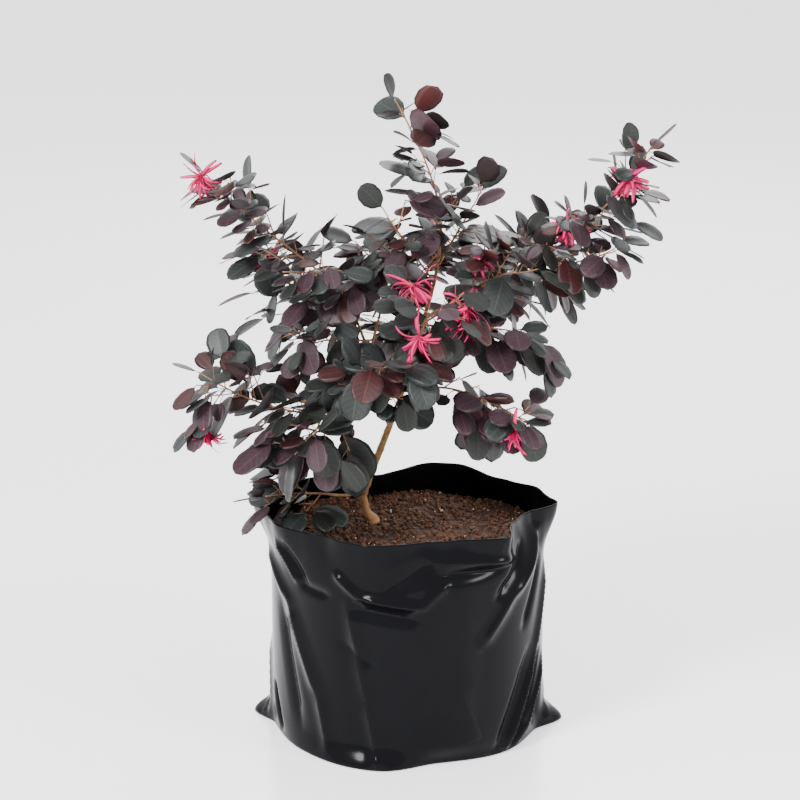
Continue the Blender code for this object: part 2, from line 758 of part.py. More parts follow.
def fuse(name, pieces, workshop, collection, finish):
    """Join the pieces of a mass with one Boolean union on a collection.

    The exact solver fails on some of the masses, so all use the manifold one.
    """
    core = pieces[0]
    workshop.objects.unlink(core)
    collection.objects.link(core)
    union = core.modifiers.new("fuse", "BOOLEAN")
    union.operation = "UNION"
    union.operand_type = "COLLECTION"
    union.collection = workshop
    union.solver = "MANIFOLD"
    evaluated = core.evaluated_get(bpy.context.evaluated_depsgraph_get())
    mesh = bpy.data.meshes.new_from_object(evaluated)
    for piece in pieces:
        bpy.data.objects.remove(piece)
    largest_shell(mesh)
    mesh.name = name
    mesh.materials.clear()
    mesh.materials.append(finish)
    made = bpy.data.objects.new(name, mesh)
    collection.objects.link(made)
    return made


def build_mass(spray, mass, workshop, collection, profile):
    """Make one mass of foliage as a single solid."""
    twigs, leaves, petals = mass
    pieces = [sweep("twig", twig, workshop, profile) for twig in twigs]
    pieces += [make_blade("leaf", leaf, workshop) for leaf in leaves]
    pieces += [make_blade("petal", petal, workshop) for petal in petals]
    finish = material(spray.name, (0.05, 0.055, 0.045), 0.45)
    return fuse(spray.name, pieces, workshop, collection, finish)


def build():
    """Build the whole plant and its bag."""
    for old in list(bpy.data.objects):
        bpy.data.objects.remove(old)
    plant = bpy.data.collections.new("potted_chinese_fringe_flower")
    workshop = bpy.data.collections.new("workshop")
    cutters = bpy.data.collections.new("cutters")
    for collection in (plant, workshop, cutters):
        bpy.context.scene.collection.children.link(collection)
    build_bag(plant)
    build_soil(plant)
    laid = lay_limbs()
    for name, limb in laid.items():
        made = sweep(name, limb, plant)
        made.data.materials.append(material(name + "_bark", (0.32, 0.17, 0.08), 0.8))
        made.data.shade_smooth()
        made.data.set_sharp_from_angle(angle=math.radians(50.0))
    profile = twig_profile(cutters)
    for spray, mass in zip(SPRAYS, grow(laid).values()):
        build_mass(spray, mass, workshop, plant, profile)
    bpy.data.objects.remove(profile)
    for collection in (workshop, cutters):
        bpy.data.collections.remove(collection)


if __name__ == "__main__":
    build()
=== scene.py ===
"""The looks of a potted Chinese fringe flower: a young shrub in a black film nursery bag.

Sizes are in millimetres where the plant grows, as in the part's own source, and are turned to
metres as each mesh is made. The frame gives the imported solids, which the pieces here replace.
"""

import json
import logging
import math
import random
from dataclasses import dataclass, field
from enum import Enum

import bmesh
import bpy
import numpy as np
from mathutils import Matrix, Vector, noise
from mathutils.bvhtree import BVHTree

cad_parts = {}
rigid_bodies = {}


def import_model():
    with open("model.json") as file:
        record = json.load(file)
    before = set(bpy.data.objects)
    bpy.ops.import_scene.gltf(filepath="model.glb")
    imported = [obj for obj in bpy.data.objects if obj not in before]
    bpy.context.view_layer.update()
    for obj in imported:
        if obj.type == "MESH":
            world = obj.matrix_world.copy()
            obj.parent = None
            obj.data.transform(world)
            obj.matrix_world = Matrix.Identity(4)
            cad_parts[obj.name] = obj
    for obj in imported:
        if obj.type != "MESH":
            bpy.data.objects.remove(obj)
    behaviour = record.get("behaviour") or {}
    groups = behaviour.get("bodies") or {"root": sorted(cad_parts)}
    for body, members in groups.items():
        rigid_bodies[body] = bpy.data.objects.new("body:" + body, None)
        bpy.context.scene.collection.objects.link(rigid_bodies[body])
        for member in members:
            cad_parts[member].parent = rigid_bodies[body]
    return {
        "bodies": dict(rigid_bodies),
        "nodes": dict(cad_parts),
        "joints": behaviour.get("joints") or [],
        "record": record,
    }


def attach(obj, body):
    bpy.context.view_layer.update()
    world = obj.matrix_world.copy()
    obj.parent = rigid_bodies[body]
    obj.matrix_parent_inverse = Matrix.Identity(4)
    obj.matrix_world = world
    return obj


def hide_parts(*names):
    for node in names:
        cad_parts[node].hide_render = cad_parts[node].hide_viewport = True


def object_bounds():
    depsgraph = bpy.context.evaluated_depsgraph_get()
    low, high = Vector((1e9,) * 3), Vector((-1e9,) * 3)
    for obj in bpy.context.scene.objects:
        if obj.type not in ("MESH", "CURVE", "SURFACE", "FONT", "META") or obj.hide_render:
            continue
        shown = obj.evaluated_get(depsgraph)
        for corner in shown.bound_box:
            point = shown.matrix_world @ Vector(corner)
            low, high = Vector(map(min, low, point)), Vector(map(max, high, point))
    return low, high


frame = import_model()
CAD_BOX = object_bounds()
LOG = logging.getLogger("fringe_flower")

MM = 0.001
UP = Vector((0.0, 0.0, 1.0))
GAP = 0.3

# Bag: a lay-flat film tube 300 mm wide, filled to a round body
LAY_FLAT = 300.0
BODY_RADIUS = LAY_FLAT / math.pi
RIM_HEIGHT = 160.0
EAR_HEIGHT = 16.0
FLARE_HEIGHT = 36.0
RIM_OUTLINE = (
    (-170, 102), (-147, 101), (-139, 96), (-127, 92), (-114, 96), (-104, 96), (-85, 88), (-71, 88),
    (-59, 93), (-48, 102), (-39, 90), (-28, 84), (-13, 87), (-8, 96), (-1, 105), (6, 100), (21, 97),
    (32, 88), (48, 85), (63, 94), (75, 94), (84, 90), (96, 81), (111, 77), (137, 86), (155, 96),
    (166, 101), (178, 108),
)
BASE_OUTLINE = (
    (-141, 97), (-101, 103), (-78, 90), (-45, 95), (-17, 94), (-2, 110), (13, 95), (60, 93),
    (100, 96), (140, 93), (162, 95), (174, 110), (-171, 95),
)
RIM_DIP = 4.0
RIM_DIP_AZIMUTH = 104.0
RIM_DIP_SPREAD = 28.0

# Soil: a fill with a slightly uneven top, level round the trunk's foot
SOIL_TOP = 138.5
SOIL_WAVE = 1.2
FOOT_PLACE = (-24.0, 18.0)
FOOT_RADIUS = 7.0

# Limbs: the steps of their paths and the flare at the trunk's foot
PATH_STEP = 9.0
STEM_STEP = 18.0
FLARE_RADIUS = 4.3
FLARE_LENGTH = 10.0

# Leaf: an ovate blade; each outline pair is a share of the length and of the half width
LEAF_WIDTH = 0.68
LEAF_THICK = 0.026
LEAF_OUTLINE = ((0.28, 0.92), (0.70, 0.90))
BLADE_START = 0.15
LEAF_ANGLE = 56.0
ROOT_DEPTH = 0.3
LEAF_TRIES = 7
LEAFY_SHARE = 0.6
CLEAR = 0.22

# Bloom: a head of strap petals on a short spur
PETAL_COUNT = 4
PETAL_LENGTH = 17.0
PETAL_WIDTH = 2.6
PETAL_THICK = 0.7
PETAL_OUTLINE = ((0.35, 0.8),)


@dataclass(frozen=True)
class Limb:
    """A tapering limb: its root's share of the way along its parent, and the points it runs through."""

    name: str
    parent: str
    at: float
    points: tuple
    base_radius: float
    tip_radius: float


@dataclass(frozen=True)
class Spray:
    """A mass of foliage: its stem, and the sizes and seed that its side twigs and leaves follow."""

    name: str
    limb: str
    at: float
    tip: tuple
    bow: tuple
    twigs: int
    reach: float
    leaf: float
    node_gap: float
    hang: float
    seed: int


@dataclass(frozen=True)
class Bloom:
    """A head of petals in a mass, at its place and with a share of the full petal length."""

    spray: str
    place: tuple
    size: float


@dataclass
class Twig:
    """A tapering path in millimetres."""

    path: list
    radii: list


@dataclass
class Blade:
    """A leaf or petal: its root, its two directions and its sizes in millimetres."""

    root: Vector
    along: Vector
    normal: Vector
    length: float
    width: float
    thick: float
    outline: tuple


LIMBS = (
    Limb("trunk", "", 0.0, ((-31, 18, 157), (-18, 12, 197), (-6, 4, 231)), 2.9, 2.0),
    Limb("bough_leader", "trunk", 1.0, ((2, 9, 258), (10, 14, 284), (18, 16, 312), (22, 18, 336)), 1.8, 1.1),
    Limb("bough_left_low", "trunk", 0.92, ((-30, -2, 231), (-44, -13, 231)), 1.5, 1.1),
    Limb("bough_left_rise", "bough_left_low", 0.55, ((-27, 0, 252), (-25, 3, 270), (-20, 5, 290)), 1.2, 0.9),
    Limb("bough_left_arm", "bough_left_rise", 0.6, ((-40, 9, 300), (-50, 11, 312)), 1.0, 0.8),
    Limb("bough_right", "bough_leader", 0.56, ((42, 0, 311), (52, -4, 316)), 1.3, 1.0),
    Limb("bough_right_low", "trunk", 0.965, ((6, -14, 245), (14, -24, 250)), 1.3, 1.0),
    Limb("bough_front", "bough_leader", 0.42, ((12, -10, 290), (12, -20, 294)), 1.0, 0.8),
    Limb("bough_front_low", "trunk", 0.8, ((-16, -16, 238), (-18, -28, 246)), 1.0, 0.8),
    Limb("bough_back", "bough_leader", 0.14, ((2, 30, 268), (4, 42, 280)), 1.2, 0.9),
    Limb("bough_back_left", "bough_left_rise", 0.3, ((-42, 26, 272), (-54, 40, 282)), 1.0, 0.8),
    Limb("bough_back_right", "bough_leader", 0.3, ((28, 30, 288), (42, 42, 296)), 1.0, 0.8),
    Limb("bough_foot", "trunk", 0.25, ((-44, 5, 163), (-54, -5, 167)), 1.2, 0.9),
)

SPRAYS = (
    Spray("foliage_leader", "bough_leader", 1.0, (-9, 8, 443), (6, 0, 6), 3, 24, 29, 15, 0.15, 1),
    Spray("foliage_crown", "bough_leader", 0.9, (44, -4, 372), (0, 0, 0), 5, 28, 29, 15, 0.35, 2),
    Spray("foliage_crown_left", "bough_leader", 0.8, (-14, -14, 366), (0, 0, 2), 5, 26, 29, 15, 0.35, 3),
    Spray("foliage_left_arm", "bough_left_arm", 1.0, (-136, 2, 392), (6, 0, -14), 8, 26, 28, 15, 0.3, 4),
    Spray("foliage_left_inner", "bough_left_arm", 0.7, (-66, -30, 334), (0, 0, 4), 6, 32, 27, 14, 0.45, 5),
    Spray("foliage_left_rise", "bough_left_rise", 1.0, (-14, 4, 346), (0, 0, 0), 7, 32, 27, 14, 0.45, 6),
    Spray("foliage_left_mid", "bough_left_rise", 0.75, (-72, -30, 278), (0, 0, 10), 7, 34, 28, 14, 0.6, 7),
    Spray("foliage_right_arm", "bough_right", 1.0, (162, -28, 418), (8, 0, -18), 12, 28, 28, 14, 0.35, 8),
    Spray("foliage_right_lower", "bough_right", 0.92, (138, -44, 350), (0, 0, 0), 7, 24, 26, 13, 0.6, 9),
    Spray("foliage_right_inner", "bough_right", 0.6, (72, -52, 338), (0, 0, 6), 7, 30, 28, 14, 0.45, 10),
    Spray("foliage_right_mid", "bough_front", 0.8, (90, -52, 290), (0, 0, 10), 7, 30, 30, 14, 0.55, 11),
    Spray("foliage_right_low", "bough_right_low", 1.0, (80, -70, 238), (0, 0, 8), 7, 20, 30, 13, 0.85, 12),
    Spray("foliage_front", "bough_front", 1.0, (22, -80, 320), (0, 0, -4), 7, 36, 30, 14, 0.5, 13),
    Spray("foliage_front_low", "bough_front_low", 1.0, (-10, -72, 284), (0, 0, 0), 7, 34, 30, 14, 0.6, 14),
    Spray("foliage_left_low", "bough_left_low", 1.0, (-142, -34, 264), (0, 0, -14), 11, 34, 29, 14, 0.4, 15),
    Spray("foliage_left_near", "bough_left_low", 0.85, (-76, -62, 214), (0, 0, 12), 6, 34, 34, 14, 0.6, 16),
    Spray("foliage_foot", "bough_foot", 1.0, (-98, -24, 172), (0, 0, 2), 5, 28, 30, 14, 0.05, 17),
    Spray("foliage_back", "bough_back", 1.0, (8, 96, 330), (0, 0, 0), 8, 38, 30, 15, 0.45, 18),
    Spray("foliage_back_low", "bough_back", 0.7, (-20, 92, 252), (0, 0, 10), 7, 36, 30, 15, 0.6, 19),
    Spray("foliage_back_left", "bough_back_left", 1.0, (-104, 72, 316), (0, 0, 0), 8, 38, 30, 15, 0.4, 20),
    Spray("foliage_back_right", "bough_back_right", 1.0, (98, 74, 320), (0, 0, 0), 8, 38, 30, 15, 0.4, 21),
)

BLOOMS = (
    Bloom("foliage_left_arm", (-139, 0, 392), 0.9),
    Bloom("foliage_left_low", (-135, -48, 226), 0.9),
    Bloom("foliage_front", (4, -60, 330), 1.0),
    Bloom("foliage_front", (36, -66, 318), 1.25),
    Bloom("foliage_front", (8, -74, 300), 1.0),
    Bloom("foliage_right_inner", (48, -40, 344), 0.7),
    Bloom("foliage_right_arm", (106, -30, 366), 0.9),
    Bloom("foliage_right_arm", (148, -34, 398), 0.9),
    Bloom("foliage_right_low", (72, -76, 234), 0.9),
    Bloom("foliage_back", (20, 96, 332), 1.0),
    Bloom("foliage_back_left", (-98, 78, 316), 0.9),
    Bloom("foliage_back_right", (92, 84, 318), 1.0),
)


def smooth(share: float) -> float:
    """Ease a share from 0 to 1.

    Args:
        share: a share from 0 to 1.

    Returns:
        The eased share.
    """
    share = min(1.0, max(0.0, share))
    return share * share * (3.0 - 2.0 * share)


def eased(shares: np.ndarray) -> np.ndarray:
    """Ease many shares from 0 to 1 at once.

    Args:
        shares: shares, which may pass 0 and 1.

    Returns:
        The eased shares.
    """
    shares = np.clip(shares, 0.0, 1.0)
    return shares ** 2 * (3.0 - 2.0 * shares)


def catmull(a: Vector | float, b: Vector | float, c: Vector | float, d: Vector | float,
            t: float) -> Vector | float:
    """Return the place at t between b and c on a smooth curve.

    Args:
        a: the knot before.
        b: the knot where the stretch starts.
        c: the knot where it ends.
        d: the knot after.
        t: the share of the stretch.

    Returns:
        The place or number there.
    """
    return 0.5 * (2.0 * b + (c - a) * t + (2.0 * a - 5.0 * b + 4.0 * c - d) * t * t
                  + (3.0 * b - a - 3.0 * c + d) * t * t * t)


def outline_radius(outline: tuple, azimuth: float) -> float:
    """Read a closed outline of azimuths and radii at any azimuth, in degrees.

    Args:
        outline: pairs of azimuth and radius.
        azimuth: the direction round the bag's axis, in degrees.

    Returns:
        The radius.
    """
    knots = sorted(outline)
    count = len(knots)
    azimuth = (azimuth + 180.0) % 360.0 - 180.0
    after = next((i for i, knot in enumerate(knots) if knot[0] > azimuth), count)
    picks = [knots[(after + shift) % count] for shift in (-2, -1, 0, 1)]
    span = (picks[2][0] - picks[1][0]) % 360.0
    share = ((azimuth - picks[1][0]) % 360.0) / span
    return catmull(*(radius for _, radius in picks), share)


def rim_height(azimuth: float) -> float:
    """Return the rim's height, which dips a little at the back.

    Args:
        azimuth: the direction round the bag's axis, in degrees.

    Returns:
        The height.
    """
    away = abs((azimuth - RIM_DIP_AZIMUTH + 180.0) % 360.0 - 180.0)
    return RIM_HEIGHT - RIM_DIP * smooth(1.0 - away / RIM_DIP_SPREAD)


def bag_radius(azimuth: float, height: float) -> float:
    """Return the bag's outer radius: eared foot, round body and flared rim.

    Args:
        azimuth: the direction round the bag's axis, in degrees.
        height: the height above the floor.

    Returns:
        The radius.
    """
    foot = outline_radius(BASE_OUTLINE, azimuth) - BODY_RADIUS
    rim = outline_radius(RIM_OUTLINE, azimuth) - BODY_RADIUS
    from_foot = smooth(1.0 - height / EAR_HEIGHT)
    from_rim = smooth((height - (RIM_HEIGHT - FLARE_HEIGHT)) / FLARE_HEIGHT)
    return BODY_RADIUS + foot * from_foot + rim * from_rim


def soil_height(place: Vector) -> float:
    """Return the soil's top: level round the trunk's foot and slightly uneven outside it.

    Args:
        place: a place in millimetres.

    Returns:
        The height.
    """
    away = (Vector(place[:2]) - Vector(FOOT_PLACE)).length
    wave = math.sin(place[0] * 0.09 + 1.0) + math.cos(place[1] * 0.11 - 0.4)
    return SOIL_TOP + SOIL_WAVE * wave * smooth((away - FOOT_RADIUS) / FOOT_RADIUS)


def smooth_path(points: list, step: float = PATH_STEP) -> list[Vector]:
    """Return places along a smooth curve through points, about a step apart.

    Args:
        points: the places to run through.
        step: the distance between the path's points.

    Returns:
        The path's points.
    """
    knots = [Vector(point) for point in points]
    knots = [2.0 * knots[0] - knots[1], *knots, 2.0 * knots[-1] - knots[-2]]
    path = [knots[1]]
    for a, b, c, d in zip(knots, knots[1:], knots[2:], knots[3:]):
        count = max(1, round((c - b).length / step))
        path.extend(catmull(a, b, c, d, i / count) for i in range(1, count + 1))
    return path


def travelled(path: list) -> list[float]:
    """Return the distance along a path at each of its points.

    Args:
        path: the points of a path.

    Returns:
        One distance a point.
    """
    marks = [0.0]
    for a, b in zip(path, path[1:]):
        marks.append(marks[-1] + (b - a).length)
    return marks


def tapered(path: list, base: float, tip: float) -> Twig:
    """Return a twig whose radius runs evenly from base to tip.

    Args:
        path: the points of a path.
        base: the radius at the base.
        tip: the radius at the tip.

    Returns:
        The twig.
    """
    marks = travelled(path)
    return Twig(path, [base + (tip - base) * mark / marks[-1] for mark in marks])


def read_twig(twig: Twig, at: float) -> tuple:
    """Return the place, direction and radius at a share of the way along a twig.

    Args:
        twig: the twig.
        at: the share of the way along.

    Returns:
        The place, the direction and the radius.
    """
    marks = travelled(twig.path)
    want = at * marks[-1]
    index = next((i for i in range(1, len(marks)) if marks[i] >= want), len(marks) - 1)
    share = (want - marks[index - 1]) / (marks[index] - marks[index - 1])
    a, b = twig.path[index - 1], twig.path[index]
    radius = twig.radii[index - 1] + (twig.radii[index] - twig.radii[index - 1]) * share
    return a.lerp(b, share), (b - a).normalized(), radius


def rooted(parent: Twig, at: float, towards: Vector, radius: float) -> list[Vector]:
    """Return the first points of a limb whose root is just clear of its parent.

    Args:
        parent: the limb that carries it.
        at: the share of the way along.
        towards: where it heads.
        radius: its radius at the root.

    Returns:
        The first points.
    """
    place, heading, parent_radius = read_twig(parent, at)
    if at >= 1.0:
        return [place + heading * GAP, place + heading * (GAP + 1.5)]
    leaving = (towards - place).normalized()
    leaving = (leaving - heading * leaving.dot(heading) * 0.5).normalized()
    cosine = abs(leaving.dot(heading))
    sine = math.sqrt(1.0 - cosine * cosine)
    return [place + leaving * ((parent_radius + GAP + radius * cosine) / sine)]


def lay_limbs() -> dict[str, Twig]:
    """Return each limb's tapering path by name.

    Returns:
        The limbs' paths.
    """
    laid = {}
    for limb in LIMBS:
        if limb.parent:
            start = rooted(laid[limb.parent], limb.at, Vector(limb.points[0]), limb.base_radius)
            laid[limb.name] = tapered(smooth_path([*start, *limb.points]), limb.base_radius, limb.tip_radius)
            continue
        foot = Vector((*FOOT_PLACE, SOIL_TOP + GAP))
        laid[limb.name] = tapered(
            smooth_path([foot, foot + UP * 2.0, *limb.points]), limb.base_radius, limb.tip_radius)
        marks = travelled(laid[limb.name].path)
        flare = [(FLARE_RADIUS - limb.base_radius) * smooth(1.0 - mark / FLARE_LENGTH) for mark in marks]
        laid[limb.name].radii = [r + more for r, more in zip(laid[limb.name].radii, flare)]
    return laid


def blade_frame(blade: Blade) -> Matrix:
    """Return the matrix that turns a flat blade along +X, face up, to its place.

    Args:
        blade: the leaf or petal.

    Returns:
        The matrix.
    """
    across = blade.normal.cross(blade.along)
    turn = Matrix((blade.along, across, blade.normal)).transposed().to_4x4()
    return Matrix.Translation(blade.root) @ turn


def blade_ring(blade: Blade, start: float = 0.0, more: float = 0.0) -> list:
    """Return the outline of a flat blade from a share of its length on, grown by more.

    Args:
        blade: the leaf or petal.
        start: the share of its length to start at.
        more: how much larger to make it.

    Returns:
        Pairs of length and width.
    """
    half = blade.width / 2.0
    side = [(share * blade.length, width * half + more) for share, width in blade.outline]
    first = (start * blade.length - more, 0.0)
    last = (blade.length + more, 0.0)
    return [last, *reversed(side), first, *[(x, -y) for x, y in side]]


def blade_proxy(blade: Blade, start: float) -> tuple[list, list]:
    """Return a slightly larger blade as vertices and faces, to test what it would touch.

    Args:
        blade: the leaf or petal.
        start: the share of its length to start at.

    Returns:
        The vertices and the faces.
    """
    edge = blade_ring(blade, start, CLEAR)
    frame = blade_frame(blade)
    middle = blade.length / 2.0
    high = blade.thick / 2.0 + CLEAR
    flat = [Vector((x, y, 0.0)) for x, y in edge]
    verts = [frame @ place for place in flat + [Vector((middle, 0, high)), Vector((middle, 0, -high))]]
    count = len(edge)
    faces = []
    for i in range(count):
        j = (i + 1) % count
        faces.append((i, j, count))
        faces.append((j, i, count + 1))
    return verts, faces


def wall_faces(levels: int, sides: int) -> list[tuple[int, ...]]:
    """Return the quads between closed rings of vertices.

    Args:
        levels: the number of bands.
        sides: the vertices in a ring.

    Returns:
        The faces.
    """
    faces = []
    for level in range(levels):
        for i in range(sides):
            j = (i + 1) % sides
            low, high = level * sides, (level + 1) * sides
            faces.append((low + i, low + j, high + j, high + i))
    return faces


def twig_proxy(twig: Twig) -> tuple[list, list]:
    """Return a slightly larger twig as vertices and faces.

    Args:
        twig: the twig.

    Returns:
        The vertices and the faces.
    """
    sides = 5
    verts = []
    last = len(twig.path) - 1
    for index, (place, radius) in enumerate(zip(twig.path, twig.radii)):
        heading = (twig.path[min(index + 1, last)] - twig.path[max(index - 1, 0)]).normalized()
        across = heading.orthogonal().normalized()
        up = heading.cross(across)
        for i in range(sides):
            angle = math.tau * i / sides
            reach = (radius + CLEAR) / math.cos(math.pi / sides)
            verts.append(place + (across * math.cos(angle) + up * math.sin(angle)) * reach)
    faces = wall_faces(last, sides)
    faces.append(tuple(range(sides)))
    faces.append(tuple(range(last * sides, last * sides + sides)))
    return verts, faces


class Crowd:
    """What has grown so far, to keep each new twig and leaf clear of the rest."""

    def __init__(self) -> None:
        """Start with nothing grown."""
        self.others = []
        self.own = []

    @staticmethod
    def entry(owner: str, shape: tuple) -> tuple:
        """Return a shape's owner, box and search tree.

        Args:
            owner: the name of the mass or limb.
            shape: its vertices and faces.

        Returns:
            The owner, both corners and the tree.
        """
        verts, faces = shape
        low = [min(vert[axis] for vert in verts) for axis in range(3)]
        high = [max(vert[axis] for vert in verts) for axis in range(3)]
        return owner, low, high, BVHTree.FromPolygons(verts, faces)

    def add(self, owner: str, whole: tuple, bare: tuple | None = None) -> None:
        """Keep a shape, and the part of it that its own mass has to clear.

        Args:
            owner: the name of the mass or limb.
            whole: the whole shape.
            bare: the part that has to clear its own mass.
        """
        self.others.append(self.entry(owner, whole))
        self.own.append(self.entry(owner, bare or whole))

    def touches(self, owner: str, whole: tuple, bare: tuple | None = None) -> bool:
        """Say whether a shape would touch another mass, or its bare part its own mass.

        Args:
            owner: the name of the mass or limb.
            whole: the whole shape.
            bare: the part that has to clear its own mass.

        Returns:
            True where it would touch.
        """
        mine = self.entry(owner, whole)
        if any(other[0] != owner and self.meets(mine, other) for other in self.others):
            return True
        if bare is None:
            return False
        mine = self.entry(owner, bare)
        return any(other[0] == owner and self.meets(mine, other) for other in self.own)

    @staticmethod
    def meets(one: tuple, other: tuple) -> bool:
        """Say whether two shapes cross.

        Args:
            one: a kept shape.
            other: another kept shape.

        Returns:
            True where they cross.
        """
        for axis in range(3):
            if one[1][axis] > other[2][axis] or other[1][axis] > one[2][axis]:
                return False
        return bool(one[3].overlap(other[3]))


def in_bag(place: Vector) -> bool:
    """Say whether a place is in the bag's wall or the soil, or too close to them.

    Args:
        place: a place in millimetres.

    Returns:
        True where it is.
    """
    azimuth = math.degrees(math.atan2(place.y, place.x))
    away = math.hypot(place.x, place.y)
    wall = bag_radius(azimuth, RIM_HEIGHT)
    if away < wall + 2.0 and place.z < SOIL_TOP + 4.0:
        return True
    return abs(away - wall) < 3.0 and place.z < RIM_HEIGHT + 1.5


def strays(spray: Spray, stem: Twig, verts: list) -> bool:
    """Say whether a shape would leave its mass's own space or reach the bag.

    Args:
        spray: the mass's sizes.
        stem: the mass's stem.
        verts: the shape's vertices.

    Returns:
        True where it would.
    """
    room = spray.reach + spray.leaf
    for vert in verts:
        if in_bag(vert) or min((vert - place).length for place in stem.path) > room:
            return True
    return False


def stem_twig(spray: Spray, laid: dict[str, Twig]) -> Twig:
    """Return a mass's stem: it leaves its limb's line and bows towards its tip.

    Args:
        spray: the mass's sizes.
        laid: each limb's path by name.

    Returns:
        The stem.
    """
    tip = Vector(spray.tip)
    start = rooted(laid[spray.limb], spray.at, tip, 0.8)
    heading = (start[-1] - start[0]).normalized() if spray.at >= 1.0 else (tip - start[0]).normalized()
    length = (tip - start[-1]).length
    first = start[-1] + heading * length * 0.3
    second = start[-1].lerp(tip, 0.66) + Vector(spray.bow)
    count = max(4, round(length / STEM_STEP))
    path = start[:-1]
    for i in range(count + 1):
        t = i / count
        path.append(start[-1] * (1 - t) ** 3 + first * 3 * t * (1 - t) ** 2
                    + second * 3 * t * t * (1 - t) + tip * t ** 3)
    return tapered(path, 0.85, 0.5)


def sideways(heading: Vector, rng: random.Random) -> Vector:
    """Return a level direction across a heading, or any across it where it is upright.

    Args:
        heading: the direction of growth.
        rng: the seeded source of numbers.

    Returns:
        The direction.
    """
    across = heading.cross(UP)
    if across.length < 0.35:
        angle = rng.uniform(0.0, math.tau)
        across = heading.cross(Vector((math.cos(angle), math.sin(angle), 0.0)))
    return across.normalized()


def side_twig(spray: Spray, stem: Twig, index: int, attempt: int) -> Twig:
    """Return one side twig of a mass's stem.

    Args:
        spray: the mass's sizes.
        stem: the mass's stem.
        index: the twig's number.
        attempt: how often it was tried before.

    Returns:
        The twig.
    """
    rng = random.Random(spray.seed * 1009 + index * 31 + attempt)
    at = 0.1 + 0.82 * (index + rng.uniform(0.2, 0.8)) / spray.twigs
    place, heading, radius = read_twig(stem, at)
    across = sideways(heading, rng) * (1 if index % 2 else -1)
    across = Matrix.Rotation(math.radians(rng.uniform(-70.0, 70.0)), 3, heading) @ across
    spread = math.radians(rng.uniform(42.0, 68.0))
    leaving = heading * math.cos(spread) + across * math.sin(spread)
    length = spray.reach * (1.0 - 0.4 * at) * rng.uniform(0.75, 1.1)
    lift = UP * length * rng.uniform(-0.12, 0.22)
    path = [place + leaving * length * share + lift * share * share for share in (0.0, 0.5, 1.0)]
    return tapered(path, min(radius * 0.8, 0.7), 0.42)


def leaf_blade(spray: Spray, twig: Twig, slot: int, attempt: int, key: int) -> Blade:
    """Return one leaf of a twig: slot 0 is the tip's, and the rest alternate down the twig.

    Args:
        spray: the mass's sizes.
        twig: the twig.
        slot: the leaf's number from the tip.
        attempt: how often it was tried before.
        key: the twig's number.

    Returns:
        The leaf.
    """
    rng = random.Random(spray.seed * 7919 + key * 131 + slot * 17 + attempt * 3)
    total = travelled(twig.path)[-1]
    at = 1.0 - (slot * spray.node_gap + rng.uniform(-1.0, 1.0) * (slot > 0)) / total
    place, heading, _ = read_twig(twig, min(1.0, at))
    spread = math.radians(LEAF_ANGLE + rng.uniform(-14.0, 14.0)) if slot else math.radians(rng.uniform(0, 20))
    across = sideways(heading, rng) * (1 if (slot + key) % 2 else -1)
    across = Matrix.Rotation(math.radians(rng.uniform(-35.0, 35.0)), 3, heading) @ across
    along = heading * math.cos(spread) + across * math.sin(spread)
    hang = min(0.9, max(0.0, spray.hang + rng.uniform(-0.25, 0.2)))
    along = (along * (1.0 - hang) - UP * hang).normalized()
    outward = Vector((place.x, place.y - 10.0, 0.0))
    facing = UP + outward.normalized() * 0.7
    facing = facing + Vector((rng.uniform(-0.5, 0.5), rng.uniform(-0.5, 0.5), rng.uniform(-0.3, 0.3)))
    normal = (facing - along * facing.dot(along)).normalized()
    grown = min(1.0, 0.72 + 0.14 * slot)
    length = spray.leaf * grown * rng.uniform(0.85, 1.2)
    width = length * LEAF_WIDTH * rng.uniform(0.92, 1.08)
    return Blade(place - along * ROOT_DEPTH, along, normal, length, width, length * LEAF_THICK, LEAF_OUTLINE)


def petal_blades(bloom: Bloom, place: Vector, heading: Vector) -> list[Blade]:
    """Return the strap petals of a head, which spread and droop from its place.

    Args:
        bloom: the head's place and size.
        place: a place in millimetres.
        heading: the direction of growth.

    Returns:
        The petals.
    """
    rng = random.Random(round(abs(place.x) * 10 + abs(place.z)))
    petals = []
    across = heading.orthogonal().normalized()
    for i in range(PETAL_COUNT):
        turn = Matrix.Rotation(math.tau * (i + rng.uniform(-0.3, 0.3)) / PETAL_COUNT, 3, heading)
        lean = math.radians(rng.uniform(35.0, 100.0))
        along = heading * math.cos(lean) + (turn @ across) * math.sin(lean) - UP * rng.uniform(0.1, 0.7)
        along.normalize()
        normal = along.cross((turn @ across).cross(UP) + UP * 0.2).normalized()
        length = PETAL_LENGTH * bloom.size * rng.uniform(0.75, 1.1)
        root = place - along * ROOT_DEPTH
        petals.append(Blade(root, along, normal, length, PETAL_WIDTH, PETAL_THICK, PETAL_OUTLINE))
    return petals


def nearest_on(twigs: list[Twig], place: Vector) -> Vector:
    """Return the nearest place on a set of twigs.

    Args:
        twigs: the mass's twigs.
        place: a place in millimetres.

    Returns:
        The place.
    """
    best = None
    for twig in twigs:
        for i in range(1, 11):
            at = read_twig(twig, i / 10.0)[0]
            if best is None or (at - place).length < (best - place).length:
                best = at
    return best


